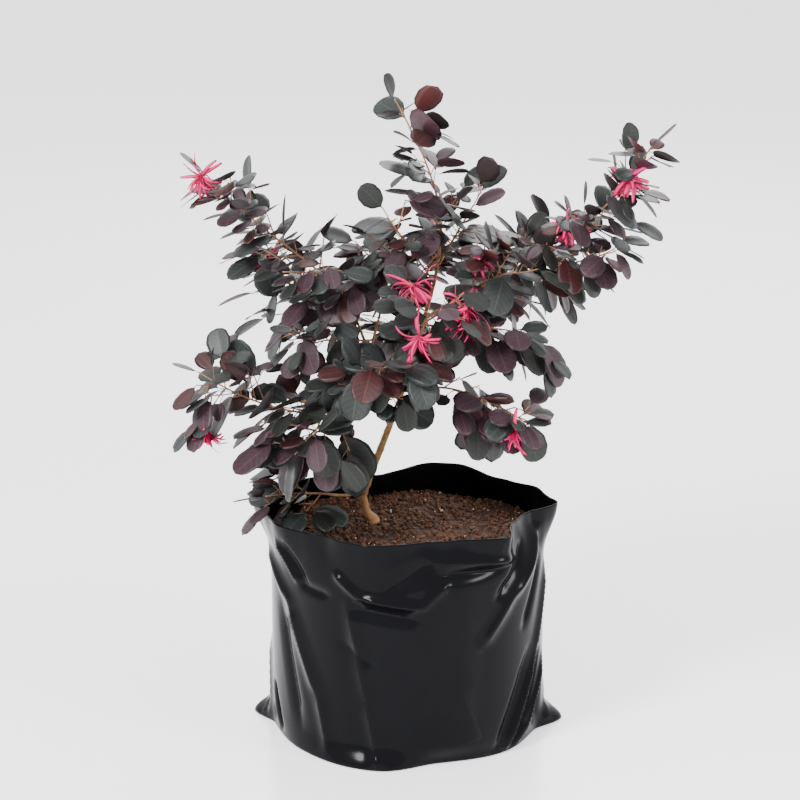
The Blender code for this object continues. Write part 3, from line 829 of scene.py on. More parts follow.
def grow_bloom(bloom: Bloom, twigs: list, petals: list, crowd: Crowd) -> Twig | None:
    """Grow a head of petals on a short spur from the nearest twig of its mass.

    Args:
        bloom: the head's place and size.
        twigs: the mass's twigs.
        petals: the list that takes the petals.
        crowd: what has grown so far.

    Returns:
        The spur, or None where it has no room.
    """
    place = Vector(bloom.place)
    start = nearest_on(twigs, place)
    heading = (place - start).normalized()
    spur = tapered([start, start.lerp(place, 0.5), place], 0.5, 0.8)
    proxy = twig_proxy(spur)
    if crowd.touches(bloom.spray, proxy):
        return None
    crowd.add(bloom.spray, proxy)
    for petal in petal_blades(bloom, place, heading):
        proxy = blade_proxy(petal, 0.0)
        if not crowd.touches(bloom.spray, proxy):
            petals.append(petal)
            crowd.add(bloom.spray, proxy)
    return spur


def grow_mass(spray: Spray, stem: Twig, crowd: Crowd) -> tuple[list, list, list]:
    """Grow a mass on its stem: side twigs, then blooms, then the leaves of each twig from its tip down.

    Args:
        spray: the mass's sizes.
        stem: the mass's stem.
        crowd: what has grown so far.

    Returns:
        The twigs, the leaves and the petals.
    """
    twigs, leaves, petals = [stem], [], []
    for index in range(spray.twigs):
        for attempt in range(LEAF_TRIES):
            twig = side_twig(spray, stem, index, attempt)
            proxy = twig_proxy(twig)
            if strays(spray, stem, proxy[0]) or crowd.touches(spray.name, proxy):
                continue
            twigs.append(twig)
            crowd.add(spray.name, proxy)
            break
    spurs = [grow_bloom(bloom, twigs, petals, crowd) for bloom in BLOOMS if bloom.spray == spray.name]
    for key, twig in enumerate(twigs):
        total = travelled(twig.path)[-1]
        for slot in range(int(total * LEAFY_SHARE / spray.node_gap) + 1):
            for attempt in range(LEAF_TRIES):
                leaf = leaf_blade(spray, twig, slot, attempt, key)
                whole = blade_proxy(leaf, 0.0)
                bare = blade_proxy(leaf, BLADE_START)
                if strays(spray, stem, whole[0]) or crowd.touches(spray.name, whole, bare):
                    continue
                leaves.append(leaf)
                crowd.add(spray.name, whole, bare)
                break
    return twigs + [spur for spur in spurs if spur], leaves, petals


def grow(laid: dict[str, Twig], crowd: Crowd) -> dict[str, tuple]:
    """Grow the masses in turn, each clear of the limbs and of what has grown before it.

    Args:
        laid: each limb's path by name.
        crowd: what has grown so far.

    Returns:
        Each mass's twigs, leaves and petals by name.
    """
    for name, limb in laid.items():
        crowd.add(name, twig_proxy(limb))
    stems = {spray.name: stem_twig(spray, laid) for spray in SPRAYS}
    for name, stem in stems.items():
        crowd.add(name, twig_proxy(stem))
    return {spray.name: grow_mass(spray, stems[spray.name], crowd) for spray in SPRAYS}


class Tone(Enum):
    """The named leaf colours; each is a plain base colour with its share of the leaves, and one is painted
    shade: a darker copy of the slate leaves for leaves in shadow.
    """

    SLATE = "slate"
    PAINTED_SHADE = "painted_shade"
    # painted shade: a darker copy of the slate leaves, standing for leaves in shadow
    PLUM = "plum"
    WINE = "wine"


@dataclass(frozen=True)
class LeafLook:
    """One tone's colours: the upper face, its lighter veins and the wine underside."""

    face: tuple[float, float, float]
    vein: tuple[float, float, float]
    under: tuple[float, float, float]
    roughness: float = 0.46


LEAF_LOOKS = {
    Tone.SLATE: LeafLook((0.0145, 0.0185, 0.0170), (0.038, 0.050, 0.043), (0.026, 0.018, 0.019)),
    # painted shade: this darker copy of the slate colours stands for leaves in shadow
    Tone.PAINTED_SHADE: LeafLook((0.0080, 0.0100, 0.0070), (0.024, 0.028, 0.020), (0.022, 0.012, 0.011)),
    Tone.PLUM: LeafLook((0.030, 0.0125, 0.0180), (0.075, 0.034, 0.046), (0.044, 0.013, 0.019)),
    Tone.WINE: LeafLook((0.034, 0.0065, 0.0070), (0.085, 0.024, 0.021), (0.066, 0.011, 0.011)),
}
TONE_SHARES = ((Tone.SLATE, 0.50), (Tone.PAINTED_SHADE, 0.70), (Tone.PLUM, 0.94), (Tone.WINE, 1.0))

# Growth past the solids' own: room round a flower head, the leaves' scale and the fine twigs' spacing
HEAD_ROOM = 15.0
LEAF_SCALE = 1.2
FINE_GAP = 9.5

# Fine grids of a leaf, a young leaf and a petal: rows from root to tip, and columns across
LEAF_ROWS = 23
LEAF_COLUMNS = 9
SMALL_ROWS = 9
SMALL_COLUMNS = 5
STRAP_ROWS = 9
STRAP_COLUMNS = 3

# Fine leaf: its stalk's share and half width, its thickness, its relief and how round its ends are
STALK_SHARE = 0.12
STALK_HALF = 0.42
LEAF_FILM = 0.34
SIDE_VEINS = 6.5
QUILT = 0.36
ROUNDNESS = 2.15

# Film and soil: the floor's share of the film's grid, and how far the soil's edge is carried down
FLOOR_SHARE = 0.08
SKIRT = 9.0

# Film creases: where they fade out, the rim's fine ripple, and the limits that they stay within
RIM_BAND = 4.0
FADE_BELOW_RIM = 14.0
FADE_ABOVE_FOOT = 6.0
RIM_RIPPLE = 0.5
RIM_WAVES = 23.0
RIPPLE_START = 140.0
EAR_LIMIT = 111.0
WALL_LIMIT = 108.5
DEEPEST_FOLD = -7.0
TALLEST_FOLD = 6.0

# Finishes: the depth of a fine grain in metres, and how far a mottle moves the roughness each way
GRAIN_DEPTH = 0.0006
GLOSS_SPREAD = (0.05, 0.07)

# Leaf mottle: how dark its patches are, and their scale and strength on the upper face
SHADE = 0.6
FACE_SCALE = 220.0
FACE_AMOUNT = 0.55

# Camera: the photograph's, worked out from the bag's rim and foot
CAMERA_DISTANCE = 2.02
CAMERA_PITCH = 0.2859
CAMERA_TARGET = Vector((-0.0052, 0.0, 0.234))
CAMERA_LENS = 131.6
SENSOR = 36.0


def socket(group: bpy.types.NodeTree, name: str, way: str, kind: str,
           value: float | tuple | None = None) -> None:
    """Add a socket to a node group.

    Args:
        group: the node group.
        name: the socket's name.
        way: INPUT or OUTPUT.
        kind: the socket's type.
        value: its default, where it has one.
    """
    made = group.interface.new_socket(name=name, in_out=way, socket_type=kind)
    if value is not None:
        made.default_value = value


def wear_group() -> bpy.types.NodeTree:
    """Build the shared group that mottles a colour and a roughness over the surface.

    Returns:
        The node group.
    """
    group = bpy.data.node_groups.new("mottle", "ShaderNodeTree")
    socket(group, "Color", "INPUT", "NodeSocketColor", (0.5, 0.5, 0.5, 1.0))
    socket(group, "Dark", "INPUT", "NodeSocketColor", (0.1, 0.1, 0.1, 1.0))
    socket(group, "Scale", "INPUT", "NodeSocketFloat", 60.0)
    socket(group, "Amount", "INPUT", "NodeSocketFloat", 0.5)
    socket(group, "Color", "OUTPUT", "NodeSocketColor")
    socket(group, "Mask", "OUTPUT", "NodeSocketFloat")
    nodes, links = group.nodes, group.links
    enter, leave = nodes.new("NodeGroupInput"), nodes.new("NodeGroupOutput")
    where = nodes.new("ShaderNodeTexCoord")
    grain = nodes.new("ShaderNodeTexNoise")
    grain.inputs["Detail"].default_value = 5.0
    grain.inputs["Roughness"].default_value = 0.6
    links.new(where.outputs["Object"], grain.inputs["Vector"])
    links.new(enter.outputs["Scale"], grain.inputs["Scale"])
    spread = nodes.new("ShaderNodeMapRange")
    spread.inputs["From Min"].default_value = 0.35
    spread.inputs["From Max"].default_value = 0.65
    links.new(grain.outputs["Fac"], spread.inputs["Value"])
    links.new(enter.outputs["Amount"], spread.inputs["To Max"])
    mix = nodes.new("ShaderNodeMix")
    mix.data_type = "RGBA"
    links.new(spread.outputs["Result"], mix.inputs["Factor"])
    links.new(enter.outputs["Color"], mix.inputs["A"])
    links.new(enter.outputs["Dark"], mix.inputs["B"])
    links.new(mix.outputs["Result"], leave.inputs["Color"])
    links.new(spread.outputs["Result"], leave.inputs["Mask"])
    return group


def mottle_node(nodes: bpy.types.Nodes, group: bpy.types.NodeTree, color: tuple, dark: tuple,
                scale: float, amount: float) -> bpy.types.Node:
    """Add the shared mottle to a material.

    Args:
        nodes: the material's nodes.
        group: the shared mottle group.
        color: the main colour.
        dark: the colour of its patches.
        scale: the patches' scale.
        amount: the patches' strength.

    Returns:
        The group's node.
    """
    made = nodes.new("ShaderNodeGroup")
    made.node_tree = group
    made.inputs["Color"].default_value = (*color, 1.0)
    made.inputs["Dark"].default_value = (*dark, 1.0)
    made.inputs["Scale"].default_value = scale
    made.inputs["Amount"].default_value = amount
    return made


@dataclass(frozen=True)
class Finish:
    """A mottled surface: two colours, the size of the mottle, its gloss and its fine relief."""

    name: str
    color: tuple[float, float, float]
    dark: tuple[float, float, float]
    scale: float
    amount: float
    roughness: float
    bump: float = 0.0
    bump_scale: float = 400.0
    specular: float = 0.4

    def material(self, group: bpy.types.NodeTree) -> bpy.types.Material:
        """Build the material.

        Args:
            group: the shared mottle group.

        Returns:
            The material.
        """
        made = bpy.data.materials.new(self.name)
        made.use_nodes = True
        nodes, links = made.node_tree.nodes, made.node_tree.links
        shader = nodes["Principled BSDF"]
        mottle = mottle_node(nodes, group, self.color, self.dark, self.scale, self.amount)
        links.new(mottle.outputs["Color"], shader.inputs["Base Color"])
        gloss = nodes.new("ShaderNodeMapRange")
        gloss.inputs["To Min"].default_value = self.roughness - GLOSS_SPREAD[0]
        gloss.inputs["To Max"].default_value = self.roughness + GLOSS_SPREAD[1]
        links.new(mottle.outputs["Mask"], gloss.inputs["Value"])
        links.new(gloss.outputs["Result"], shader.inputs["Roughness"])
        shader.inputs["Specular IOR Level"].default_value = self.specular
        if self.bump:
            where = nodes.new("ShaderNodeTexCoord")
            grain = nodes.new("ShaderNodeTexNoise")
            grain.inputs["Scale"].default_value = self.bump_scale
            grain.inputs["Detail"].default_value = 4.0
            links.new(where.outputs["Object"], grain.inputs["Vector"])
            bump = nodes.new("ShaderNodeBump")
            bump.inputs["Strength"].default_value = self.bump
            bump.inputs["Distance"].default_value = GRAIN_DEPTH
            links.new(grain.outputs["Fac"], bump.inputs["Height"])
            links.new(bump.outputs["Normal"], shader.inputs["Normal"])
        return made


@dataclass(frozen=True)
class VeinedFinish:
    """A leaf's upper face: its tone, with paler veins read from the leaf's own UV map."""

    name: str
    look: LeafLook

    def material(self, group: bpy.types.NodeTree) -> bpy.types.Material:
        """Build the material.

        Args:
            group: the shared mottle group.

        Returns:
            The material.
        """
        made = bpy.data.materials.new(self.name)
        made.use_nodes = True
        nodes, links = made.node_tree.nodes, made.node_tree.links
        shader = nodes["Principled BSDF"]
        shade = tuple(SHADE * part for part in self.look.face)
        mottle = mottle_node(nodes, group, self.look.face, shade, FACE_SCALE, FACE_AMOUNT)
        uv = nodes.new("ShaderNodeUVMap")
        uv.uv_map = "UVMap"
        split = nodes.new("ShaderNodeSeparateXYZ")
        links.new(uv.outputs["UV"], split.inputs["Vector"])
        offset = self.math(nodes, links, "SUBTRACT", split.outputs["Y"], 0.5)
        across = self.math(nodes, links, "ABSOLUTE", offset)
        slant = self.math(nodes, links, "MULTIPLY", across, 0.55)
        phase = self.math(nodes, links, "SUBTRACT", split.outputs["X"], slant)
        turn = self.math(nodes, links, "MULTIPLY", phase, math.tau * SIDE_VEINS)
        wave = self.math(nodes, links, "SINE", turn)
        side = self.ramp(nodes, links, wave, 0.86, 1.0, 0.45)
        rib = self.ramp(nodes, links, across, 0.035, 0.0, 0.8)
        veins = self.math(nodes, links, "MAXIMUM", side, rib)
        mix = nodes.new("ShaderNodeMix")
        mix.data_type = "RGBA"
        links.new(veins, mix.inputs["Factor"])
        links.new(mottle.outputs["Color"], mix.inputs["A"])
        mix.inputs["B"].default_value = (*self.look.vein, 1.0)
        links.new(mix.outputs["Result"], shader.inputs["Base Color"])
        shader.inputs["Roughness"].default_value = self.look.roughness
        shader.inputs["Sheen Weight"].default_value = 0.04
        shader.inputs["Specular IOR Level"].default_value = 0.36
        return made

    @staticmethod
    def math(nodes: bpy.types.Nodes, links: bpy.types.NodeLinks, operation: str,
             first: bpy.types.NodeSocket,
             second: bpy.types.NodeSocket | float | None = None) -> bpy.types.NodeSocket:
        """Add a Math node.

        Args:
            nodes: the material's nodes.
            links: the material's links.
            operation: the node's operation.
            first: its first value.
            second: its second value, a socket or a number.

        Returns:
            The result's socket.
        """
        made = nodes.new("ShaderNodeMath")
        made.operation = operation
        links.new(first, made.inputs[0])
        if isinstance(second, float):
            made.inputs[1].default_value = second
        elif second is not None:
            links.new(second, made.inputs[1])
        return made.outputs[0]

    @staticmethod
    def ramp(nodes: bpy.types.Nodes, links: bpy.types.NodeLinks, value: bpy.types.NodeSocket,
             low: float, high: float, top: float) -> bpy.types.NodeSocket:
        """Add a Map Range node from low and high to 0 and top.

        Args:
            nodes: the material's nodes.
            links: the material's links.
            value: the value to map.
            low: the value that gives 0.
            high: the value that gives top.
            top: the largest result.

        Returns:
            The result's socket.
        """
        made = nodes.new("ShaderNodeMapRange")
        links.new(value, made.inputs["Value"])
        made.inputs["From Min"].default_value = low
        made.inputs["From Max"].default_value = high
        made.inputs["To Max"].default_value = top
        return made.outputs["Result"]


BARK = Finish("young_bark", (0.42, 0.22, 0.085), (0.16, 0.075, 0.035), 180.0, 0.8, 0.72, 0.6, 900.0)
TWIG_BARK = Finish("twig_bark", (0.34, 0.17, 0.07), (0.14, 0.055, 0.04), 150.0, 0.8, 0.66)
FILM_FINISH = Finish("black_film", (0.0030, 0.0030, 0.0040), (0.0020, 0.0020, 0.0026), 30.0, 0.6, 0.18,
                     0.05, 140.0, specular=0.07)
SOIL_FINISH = Finish("potting_soil", (0.060, 0.026, 0.013), (0.018, 0.009, 0.006), 240.0, 0.9, 0.92,
                     0.8, 700.0)
CRUMB_FINISH = Finish("soil_crumbs", (0.120, 0.050, 0.022), (0.030, 0.013, 0.008), 420.0, 0.85, 0.9)
SPECK_FINISH = Finish("pale_specks", (0.55, 0.40, 0.28), (0.35, 0.20, 0.12), 500.0, 0.6, 0.6)
PETAL_FINISH = Finish("pink_petal", (0.74, 0.012, 0.150), (0.56, 0.008, 0.090), 260.0, 0.7, 0.5)
BUD_FINISH = Finish("wine_bud", (0.22, 0.035, 0.045), (0.10, 0.02, 0.025), 300.0, 0.7, 0.6)


class MeshStack:
    """Vertices, faces and UVs of many small shapes, joined into one object."""

    def __init__(self) -> None:
        """Start empty."""
        self.places: list[np.ndarray] = []
        self.faces: list[np.ndarray] = []
        self.uvs: list[np.ndarray] = []
        self.slots: list[np.ndarray] = []
        self.count = 0

    def add(self, places: np.ndarray, faces: np.ndarray, uv: np.ndarray | None = None,
            slots: np.ndarray | None = None) -> None:
        """Add a shape of quads in millimetres; a triangle repeats its last corner.

        Args:
            places: the vertices.
            faces: four corners a row.
            uv: two values a vertex.
            slots: a material number a face.
        """
        self.places.append(np.asarray(places, dtype=np.float64))
        self.faces.append(faces + self.count)
        self.uvs.append(uv if uv is not None else np.zeros((len(places), 2)))
        self.slots.append(slots if slots is not None else np.zeros(len(faces), dtype=np.int32))
        self.count += len(places)

    def build(self, name: str, materials: list[bpy.types.Material],
              smooth_faces: bool = True) -> bpy.types.Object:
        """Make the object.

        Args:
            name: the piece's name.
            materials: its materials.
            smooth_faces: whether it is shaded smooth.

        Returns:
            The object.
        """
        places = np.concatenate(self.places) * MM
        quads = np.concatenate(self.faces)
        uvs = np.concatenate(self.uvs)
        slots = np.concatenate(self.slots)
        corners = [tuple(dict.fromkeys(quad)) for quad in quads.tolist()]
        mesh = bpy.data.meshes.new(name)
        mesh.from_pydata(places.tolist(), [], corners)
        layer = mesh.uv_layers.new(name="UVMap")
        index = np.zeros(len(mesh.loops), dtype=np.int32)
        mesh.loops.foreach_get("vertex_index", index)
        layer.data.foreach_set("uv", uvs[index].ravel())
        for finish in materials:
            mesh.materials.append(finish)
        mesh.polygons.foreach_set("material_index", slots)
        mesh.polygons.foreach_set("use_smooth", np.full(len(corners), smooth_faces))
        mesh.update()
        made = bpy.data.objects.new(name, mesh)
        bpy.context.scene.collection.objects.link(made)
        return made


def in_reach(place: Vector) -> bool:
    """Tell whether a place lies inside the CAD model's box.

    Args:
        place: the place in millimetres.

    Returns:
        Whether it does.
    """
    low, high = CAD_BOX
    return all(low[axis] < place[axis] * MM < high[axis] for axis in range(3))


def hides_head(place: Vector) -> bool:
    """Tell whether a place is in a flower head's room, or just in front of it.

    Args:
        place: the place in millimetres.

    Returns:
        Whether it is.
    """
    for bloom in BLOOMS:
        away = place - Vector(bloom.place)
        away.y = max(0.0, away.y + 25.0)
        if away.length < HEAD_ROOM * bloom.size:
            return True
    return False


def grid_template(rows: int, columns: int) -> tuple[np.ndarray, np.ndarray, np.ndarray, np.ndarray]:
    """Return a closed two-sided grid: both sides share their border vertices.

    Args:
        rows: the vertices along.
        columns: the vertices across.

    Returns:
        Each vertex's share along, share across from -1 to 1, side (1 up, -1 down, 0 border), and the faces.
    """
    along, across, side = [], [], []
    top = np.zeros((rows, columns), dtype=np.int64)
    low = np.zeros((rows, columns), dtype=np.int64)
    for i in range(rows):
        for j in range(columns):
            edge = i in (0, rows - 1) or j in (0, columns - 1)
            top[i, j] = len(along)
            along.append(i / (rows - 1))
            across.append(2.0 * j / (columns - 1) - 1.0)
            side.append(0.0 if edge else 1.0)
    for i in range(rows):
        for j in range(columns):
            if side[top[i, j]] == 0.0:
                low[i, j] = top[i, j]
                continue
            low[i, j] = len(along)
            along.append(i / (rows - 1))
            across.append(2.0 * j / (columns - 1) - 1.0)
            side.append(-1.0)
    faces = []
    for i in range(rows - 1):
        for j in range(columns - 1):
            faces.append((top[i, j], top[i + 1, j], top[i + 1, j + 1], top[i, j + 1]))
    for i in range(rows - 1):
        for j in range(columns - 1):
            faces.append((low[i, j], low[i, j + 1], low[i + 1, j + 1], low[i + 1, j]))
    return np.array(along), np.array(across), np.array(side), np.array(faces)


def tube_shape(twig: Twig, sides: int, relief: float = 0.0,
               seed: float = 0.0) -> tuple[np.ndarray, np.ndarray]:
    """Return a round closed tube along a twig, with relief on its bark.

    Args:
        twig: the tapering path.
        sides: the vertices round it.
        relief: the bark's relief as a share of the radius.
        seed: a shift of the relief's pattern.

    Returns:
        The vertices and the faces.
    """
    path, last = twig.path, len(twig.path) - 1
    places: list = []
    across = (path[1] - path[0]).orthogonal().normalized()
    for index, (place, radius) in enumerate(zip(path, twig.radii)):
        heading = (path[min(index + 1, last)] - path[max(index - 1, 0)]).normalized()
        across = (across - heading * across.dot(heading)).normalized()
        up = heading.cross(across)
        for i in range(sides):
            angle = math.tau * i / sides
            out = across * math.cos(angle) + up * math.sin(angle)
            grown = radius
            if relief:
                spot = (place + out * radius) * 0.55 + Vector((seed, 0.0, 0.0))
                ridge = noise.noise(Vector((spot.x * 1.6, spot.y * 1.6, spot.z * 0.35)))
                grown *= 1.0 + relief * ridge + relief * 0.5 * noise.noise(spot * 2.3)
            places.append(place + out * grown)
    faces = wall_faces(last, sides)
    for level, order in ((0, -1), (last, 1)):
        centre = len(places)
        places.append(path[level])
        for i in range(sides):
            j = (i + 1) % sides
            pair = (level * sides + i, level * sides + j)[::order]
            faces.append((*pair, centre, centre))
    return np.array([tuple(place) for place in places]), np.array(faces)


def refined(twig: Twig, step: float) -> Twig:
    """Return a twig with a smoother path through its own points.

    Args:
        twig: the twig.
        step: the distance between the new points.

    Returns:
        The smoother twig.
    """
    path = smooth_path(twig.path, step)
    marks, old = travelled(path), travelled(twig.path)
    radii = np.interp(np.array(marks) / marks[-1], np.array(old) / old[-1], twig.radii)
    return Twig(path, list(radii))


@dataclass
class Limbs:
    """The trunk and the boughs, each with its bark's relief."""

    laid: dict[str, Twig]
    sides: int = 14
    step: float = 1.4
    relief: float = 0.11

    def build(self, finish: bpy.types.Material) -> list[bpy.types.Object]:
        """Build one piece for each limb.

        Args:
            finish: the bark.

        Returns:
            The pieces.
        """
        made = []
        for number, (name, twig) in enumerate(self.laid.items()):
            stack = MeshStack()
            fine = refined(twig, self.step)
            if name == "trunk":
                self.knuckles(fine)
            stack.add(*tube_shape(fine, self.sides, self.relief, number * 7.3))
            piece = stack.build("bark_" + name, [finish])
            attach(piece, "root")
            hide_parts(name)
            made.append(piece)
        return made

    @staticmethod
    def knuckles(twig: Twig) -> None:
        """Swell the trunk a little at its old leaf joints.

        Args:
            twig: the trunk's fine path.
        """
        for index, mark in enumerate(travelled(twig.path)):
            swell = max(0.0, math.cos(mark * math.tau / 15.0)) ** 8
            twig.radii[index] *= 1.0 + 0.10 * swell


@dataclass
class Foliage:
    """The masses of foliage: twigs, leaves and flowers grown by the source's rule, and finer growth."""

    crowd: Crowd
    masses: dict[str, tuple]
    twig_sides: int = 6
    young_tries: int = 3
    leaves: dict[Tone, MeshStack] = field(default_factory=dict)
    twigs: MeshStack = field(default_factory=MeshStack)
    petals: MeshStack = field(default_factory=MeshStack)
    buds: MeshStack = field(default_factory=MeshStack)

    def __post_init__(self) -> None:
        """Prepare a stack for each tone and the grids that leaves and petals are made from."""
        self.leaves = {tone: MeshStack() for tone in Tone}
        self.full = grid_template(LEAF_ROWS, LEAF_COLUMNS)
        self.small = grid_template(SMALL_ROWS, SMALL_COLUMNS)
        self.strap = grid_template(STRAP_ROWS, STRAP_COLUMNS)

    def build(self, finishes: dict[str, bpy.types.Material]) -> list[bpy.types.Object]:
        """Grow and join everything, each kind apart.

        Args:
            finishes: the materials by name.

        Returns:
            The pieces.
        """
        for spray in SPRAYS:
            self.dress_mass(spray)
        pieces = []
        for tone, stack in self.leaves.items():
            worn = [finishes["face_" + tone.value], finishes["under_" + tone.value]]
            pieces.append((stack.build("leaves_" + tone.value, worn), "leaf"))
        pieces.append((self.twigs.build("twigs", [finishes["twig"]]), "bark"))
        pieces.append((self.petals.build("petals", [finishes["petal"]]), "petal"))
        pieces.append((self.buds.build("buds", [finishes["bud"]]), "leaf"))
        for piece, slot in pieces:
            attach(piece, "root")
        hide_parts(*[spray.name for spray in SPRAYS])
        return [piece for piece, _ in pieces]

    def dress_mass(self, spray: Spray) -> None:
        """Make one mass's twigs, leaves, young growth and flowers.

        Args:
            spray: the mass's sizes.
        """
        rng = random.Random(spray.seed * 53 + 5)
        twigs, leaves, _ = self.masses[spray.name]
        for twig in twigs:
            self.twigs.add(*tube_shape(refined(twig, 4.0), self.twig_sides))
        for leaf in leaves:
            scale = LEAF_SCALE if in_reach(leaf.root + leaf.along * leaf.length * LEAF_SCALE) else 1.0
            grown = Blade(leaf.root, leaf.along, leaf.normal, leaf.length * scale,
                          leaf.width * scale, leaf.thick, leaf.outline)
            self.add_leaf(grown, self.pick_tone(rng, leaf), rng, self.full)
        self.young_growth(spray, twigs, rng)
        heads = [bloom for bloom in BLOOMS if bloom.spray == spray.name]
        for bloom in heads:
            self.add_head(bloom, twigs[0], rng)

    @staticmethod
    def pick_tone(rng: random.Random, leaf: Blade) -> Tone:
        """Deal a leaf its tone: the low and hanging leaves are plum, wine or the painted-shade tone more
        often.

        Args:
            rng: the seeded source of numbers.
            leaf: the leaf.

        Returns:
            The tone.
        """
        draw = rng.random()
        # hanging leaves are dealt the painted-shade tone, plum and wine more often
        if leaf.along.z < -0.55:
            draw = 0.40 + 0.60 * draw
        return next(tone for tone, top in TONE_SHARES if draw <= top)

    def add_leaf(self, leaf: Blade, tone: Tone, rng: random.Random, template: tuple) -> None:
        """Add one closed leaf: a stalk, an oval blade, a folded midrib, quilted veins and a soft curl.

        Args:
            leaf: its place and sizes.
            tone: its colour.
            rng: the seeded source of numbers.
            template: the two-sided grid that it is made from.
        """
        along, across, side, faces = template
        share = np.clip((along - STALK_SHARE) / (1.0 - STALK_SHARE), 0.0, 1.0)
        half = leaf.width / 2.0 * np.sqrt(1.0 - np.abs(2.0 * share ** 1.08 - 1.0) ** ROUNDNESS)
        half = np.maximum(half, STALK_HALF * (1.0 - 0.7 * share))
        x = along * leaf.length
        y = across * half * (1.0 + 0.02 * np.sin(share * 23.0 + rng.uniform(0.0, 6.0)))
        fold = rng.uniform(0.04, 0.16)
        curl = rng.uniform(-0.05, 0.16)
        twist = rng.uniform(-0.08, 0.08)
        blade = np.clip(share * 8.0, 0.0, 1.0)
        z = np.abs(y) * fold * blade - curl * leaf.length * (share - 0.25) ** 2 + twist * y * share
        vein = np.abs(np.sin((share - 0.28 * np.abs(across)) * np.pi * SIDE_VEINS))
        z += QUILT * (vein - 0.5) * blade * np.clip(1.0 - across ** 2, 0.0, 1.0) * np.minimum(1.0, half / 4.0)
        z += side * LEAF_FILM / 2.0 * (1.0 - 0.6 * np.abs(across))
        local = np.stack((x, y, z, np.ones_like(x)), axis=1)
        places = local @ np.array(blade_frame(leaf)).T
        uv = np.stack((share, across / 2.0 + 0.5), axis=1)
        slots = np.repeat(np.array([0, 1], dtype=np.int32), len(faces) // 2)
        self.leaves[tone].add(places[:, :3], faces[:, ::-1], uv, slots)

    def young_growth(self, spray: Spray, twigs: list[Twig], rng: random.Random) -> None:
        """Carry the mass on to short finer twigs with young leaves.

        Args:
            spray: the mass's sizes.
            twigs: the mass's twigs.
            rng: the seeded source of numbers.
        """
        for twig in twigs:
            total = travelled(twig.path)[-1]
            for _ in range(max(1, round(total / FINE_GAP))):
                for _ in range(self.young_tries):
                    place, heading, radius = read_twig(twig, rng.uniform(0.15, 0.95))
                    turn = Matrix.Rotation(rng.uniform(0.0, math.tau), 3, heading)
                    across = turn @ heading.orthogonal().normalized()
                    leaving = (heading * 0.8 + across + UP * 0.15).normalized()
                    tip = place + leaving * rng.uniform(6.0, 13.0)
                    path = [place, place.lerp(tip, 0.5) + UP * 0.4, tip]
                    fine = tapered(path, min(0.42, radius * 0.7), 0.26)
                    if self.crowd.touches(spray.name, twig_proxy(fine)) or in_bag(tip):
                        continue
                    self.crowd.add(spray.name, twig_proxy(fine))
                    self.twigs.add(*tube_shape(refined(fine, 3.0), 5))
                    self.young_leaves(spray, fine, leaving, rng)
                    break

    def young_leaves(self, spray: Spray, fine: Twig, leaving: Vector, rng: random.Random) -> None:
        """Put small leaves on a fine twig.

        Args:
            spray: the mass's sizes.
            fine: the fine twig.
            leaving: its direction.
            rng: the seeded source of numbers.
        """
        side = sideways(leaving, rng)
        for number, at in enumerate((1.0, 0.72, 0.45)):
            place, heading, _ = read_twig(fine, at)
            out = side * (1 if number % 2 else -1)
            along = (heading * (0.9 if number == 0 else 0.55) + out * (0.15 if number == 0 else 0.8))
            along = (along - UP * rng.uniform(0.0, 0.5)).normalized()
            facing = UP + Vector((place.x, place.y, 0.0)).normalized() * 0.6
            normal = (facing - along * facing.dot(along)).normalized()
            length = spray.leaf * rng.uniform(0.5, 0.95)
            leaf = Blade(place, along, normal, length, length * LEAF_WIDTH, 0.4, LEAF_OUTLINE)
            whole = blade_proxy(leaf, 0.0)
            if self.crowd.touches(spray.name, whole, blade_proxy(leaf, 0.3)) or any(map(in_bag, whole[0])):
                continue
            if not in_reach(place + along * length) or hides_head(place + along * length * 0.5):
                continue
            self.crowd.add(spray.name, whole, blade_proxy(leaf, 0.3))
            tone = Tone.WINE if rng.random() < 0.15 else self.pick_tone(rng, leaf)
            self.add_leaf(leaf, tone, rng, self.small)

    def add_head(self, bloom: Bloom, stem: Twig, rng: random.Random) -> None:
        """Make a flower head: a wine calyx and curling strap petals that droop.

        Args:
            bloom: its place and size.
            stem: the mass's stem.
            rng: the seeded source of numbers.
        """
        place = Vector(bloom.place)
        heading = (place - nearest_on([stem], place)).normalized()
        across = heading.orthogonal().normalized()
        calyx = tapered([place - heading * 1.5, place, place + heading * 1.5], 0.9, 0.7)
        self.buds.add(*tube_shape(calyx, 7))
        count = round(30 * bloom.size)
        for i in range(count):
            turn = Matrix.Rotation(math.tau * (i + rng.uniform(-0.4, 0.4)) / count * 3.0, 3, heading) @ across
            lean = math.radians(rng.uniform(15.0, 105.0))
            along = heading * math.cos(lean) + turn * math.sin(lean) - UP * rng.uniform(0.1, 1.2)
            along.normalize()
            normal = (heading - along * heading.dot(along)).normalized()
            normal = Matrix.Rotation(rng.uniform(-0.6, 0.6), 3, along) @ normal
            petal = Blade(place, along, normal, PETAL_LENGTH * bloom.size * rng.uniform(0.85, 1.3),
                          rng.uniform(2.3, 3.3), 0.3, PETAL_OUTLINE)
            self.add_petal(petal, rng)

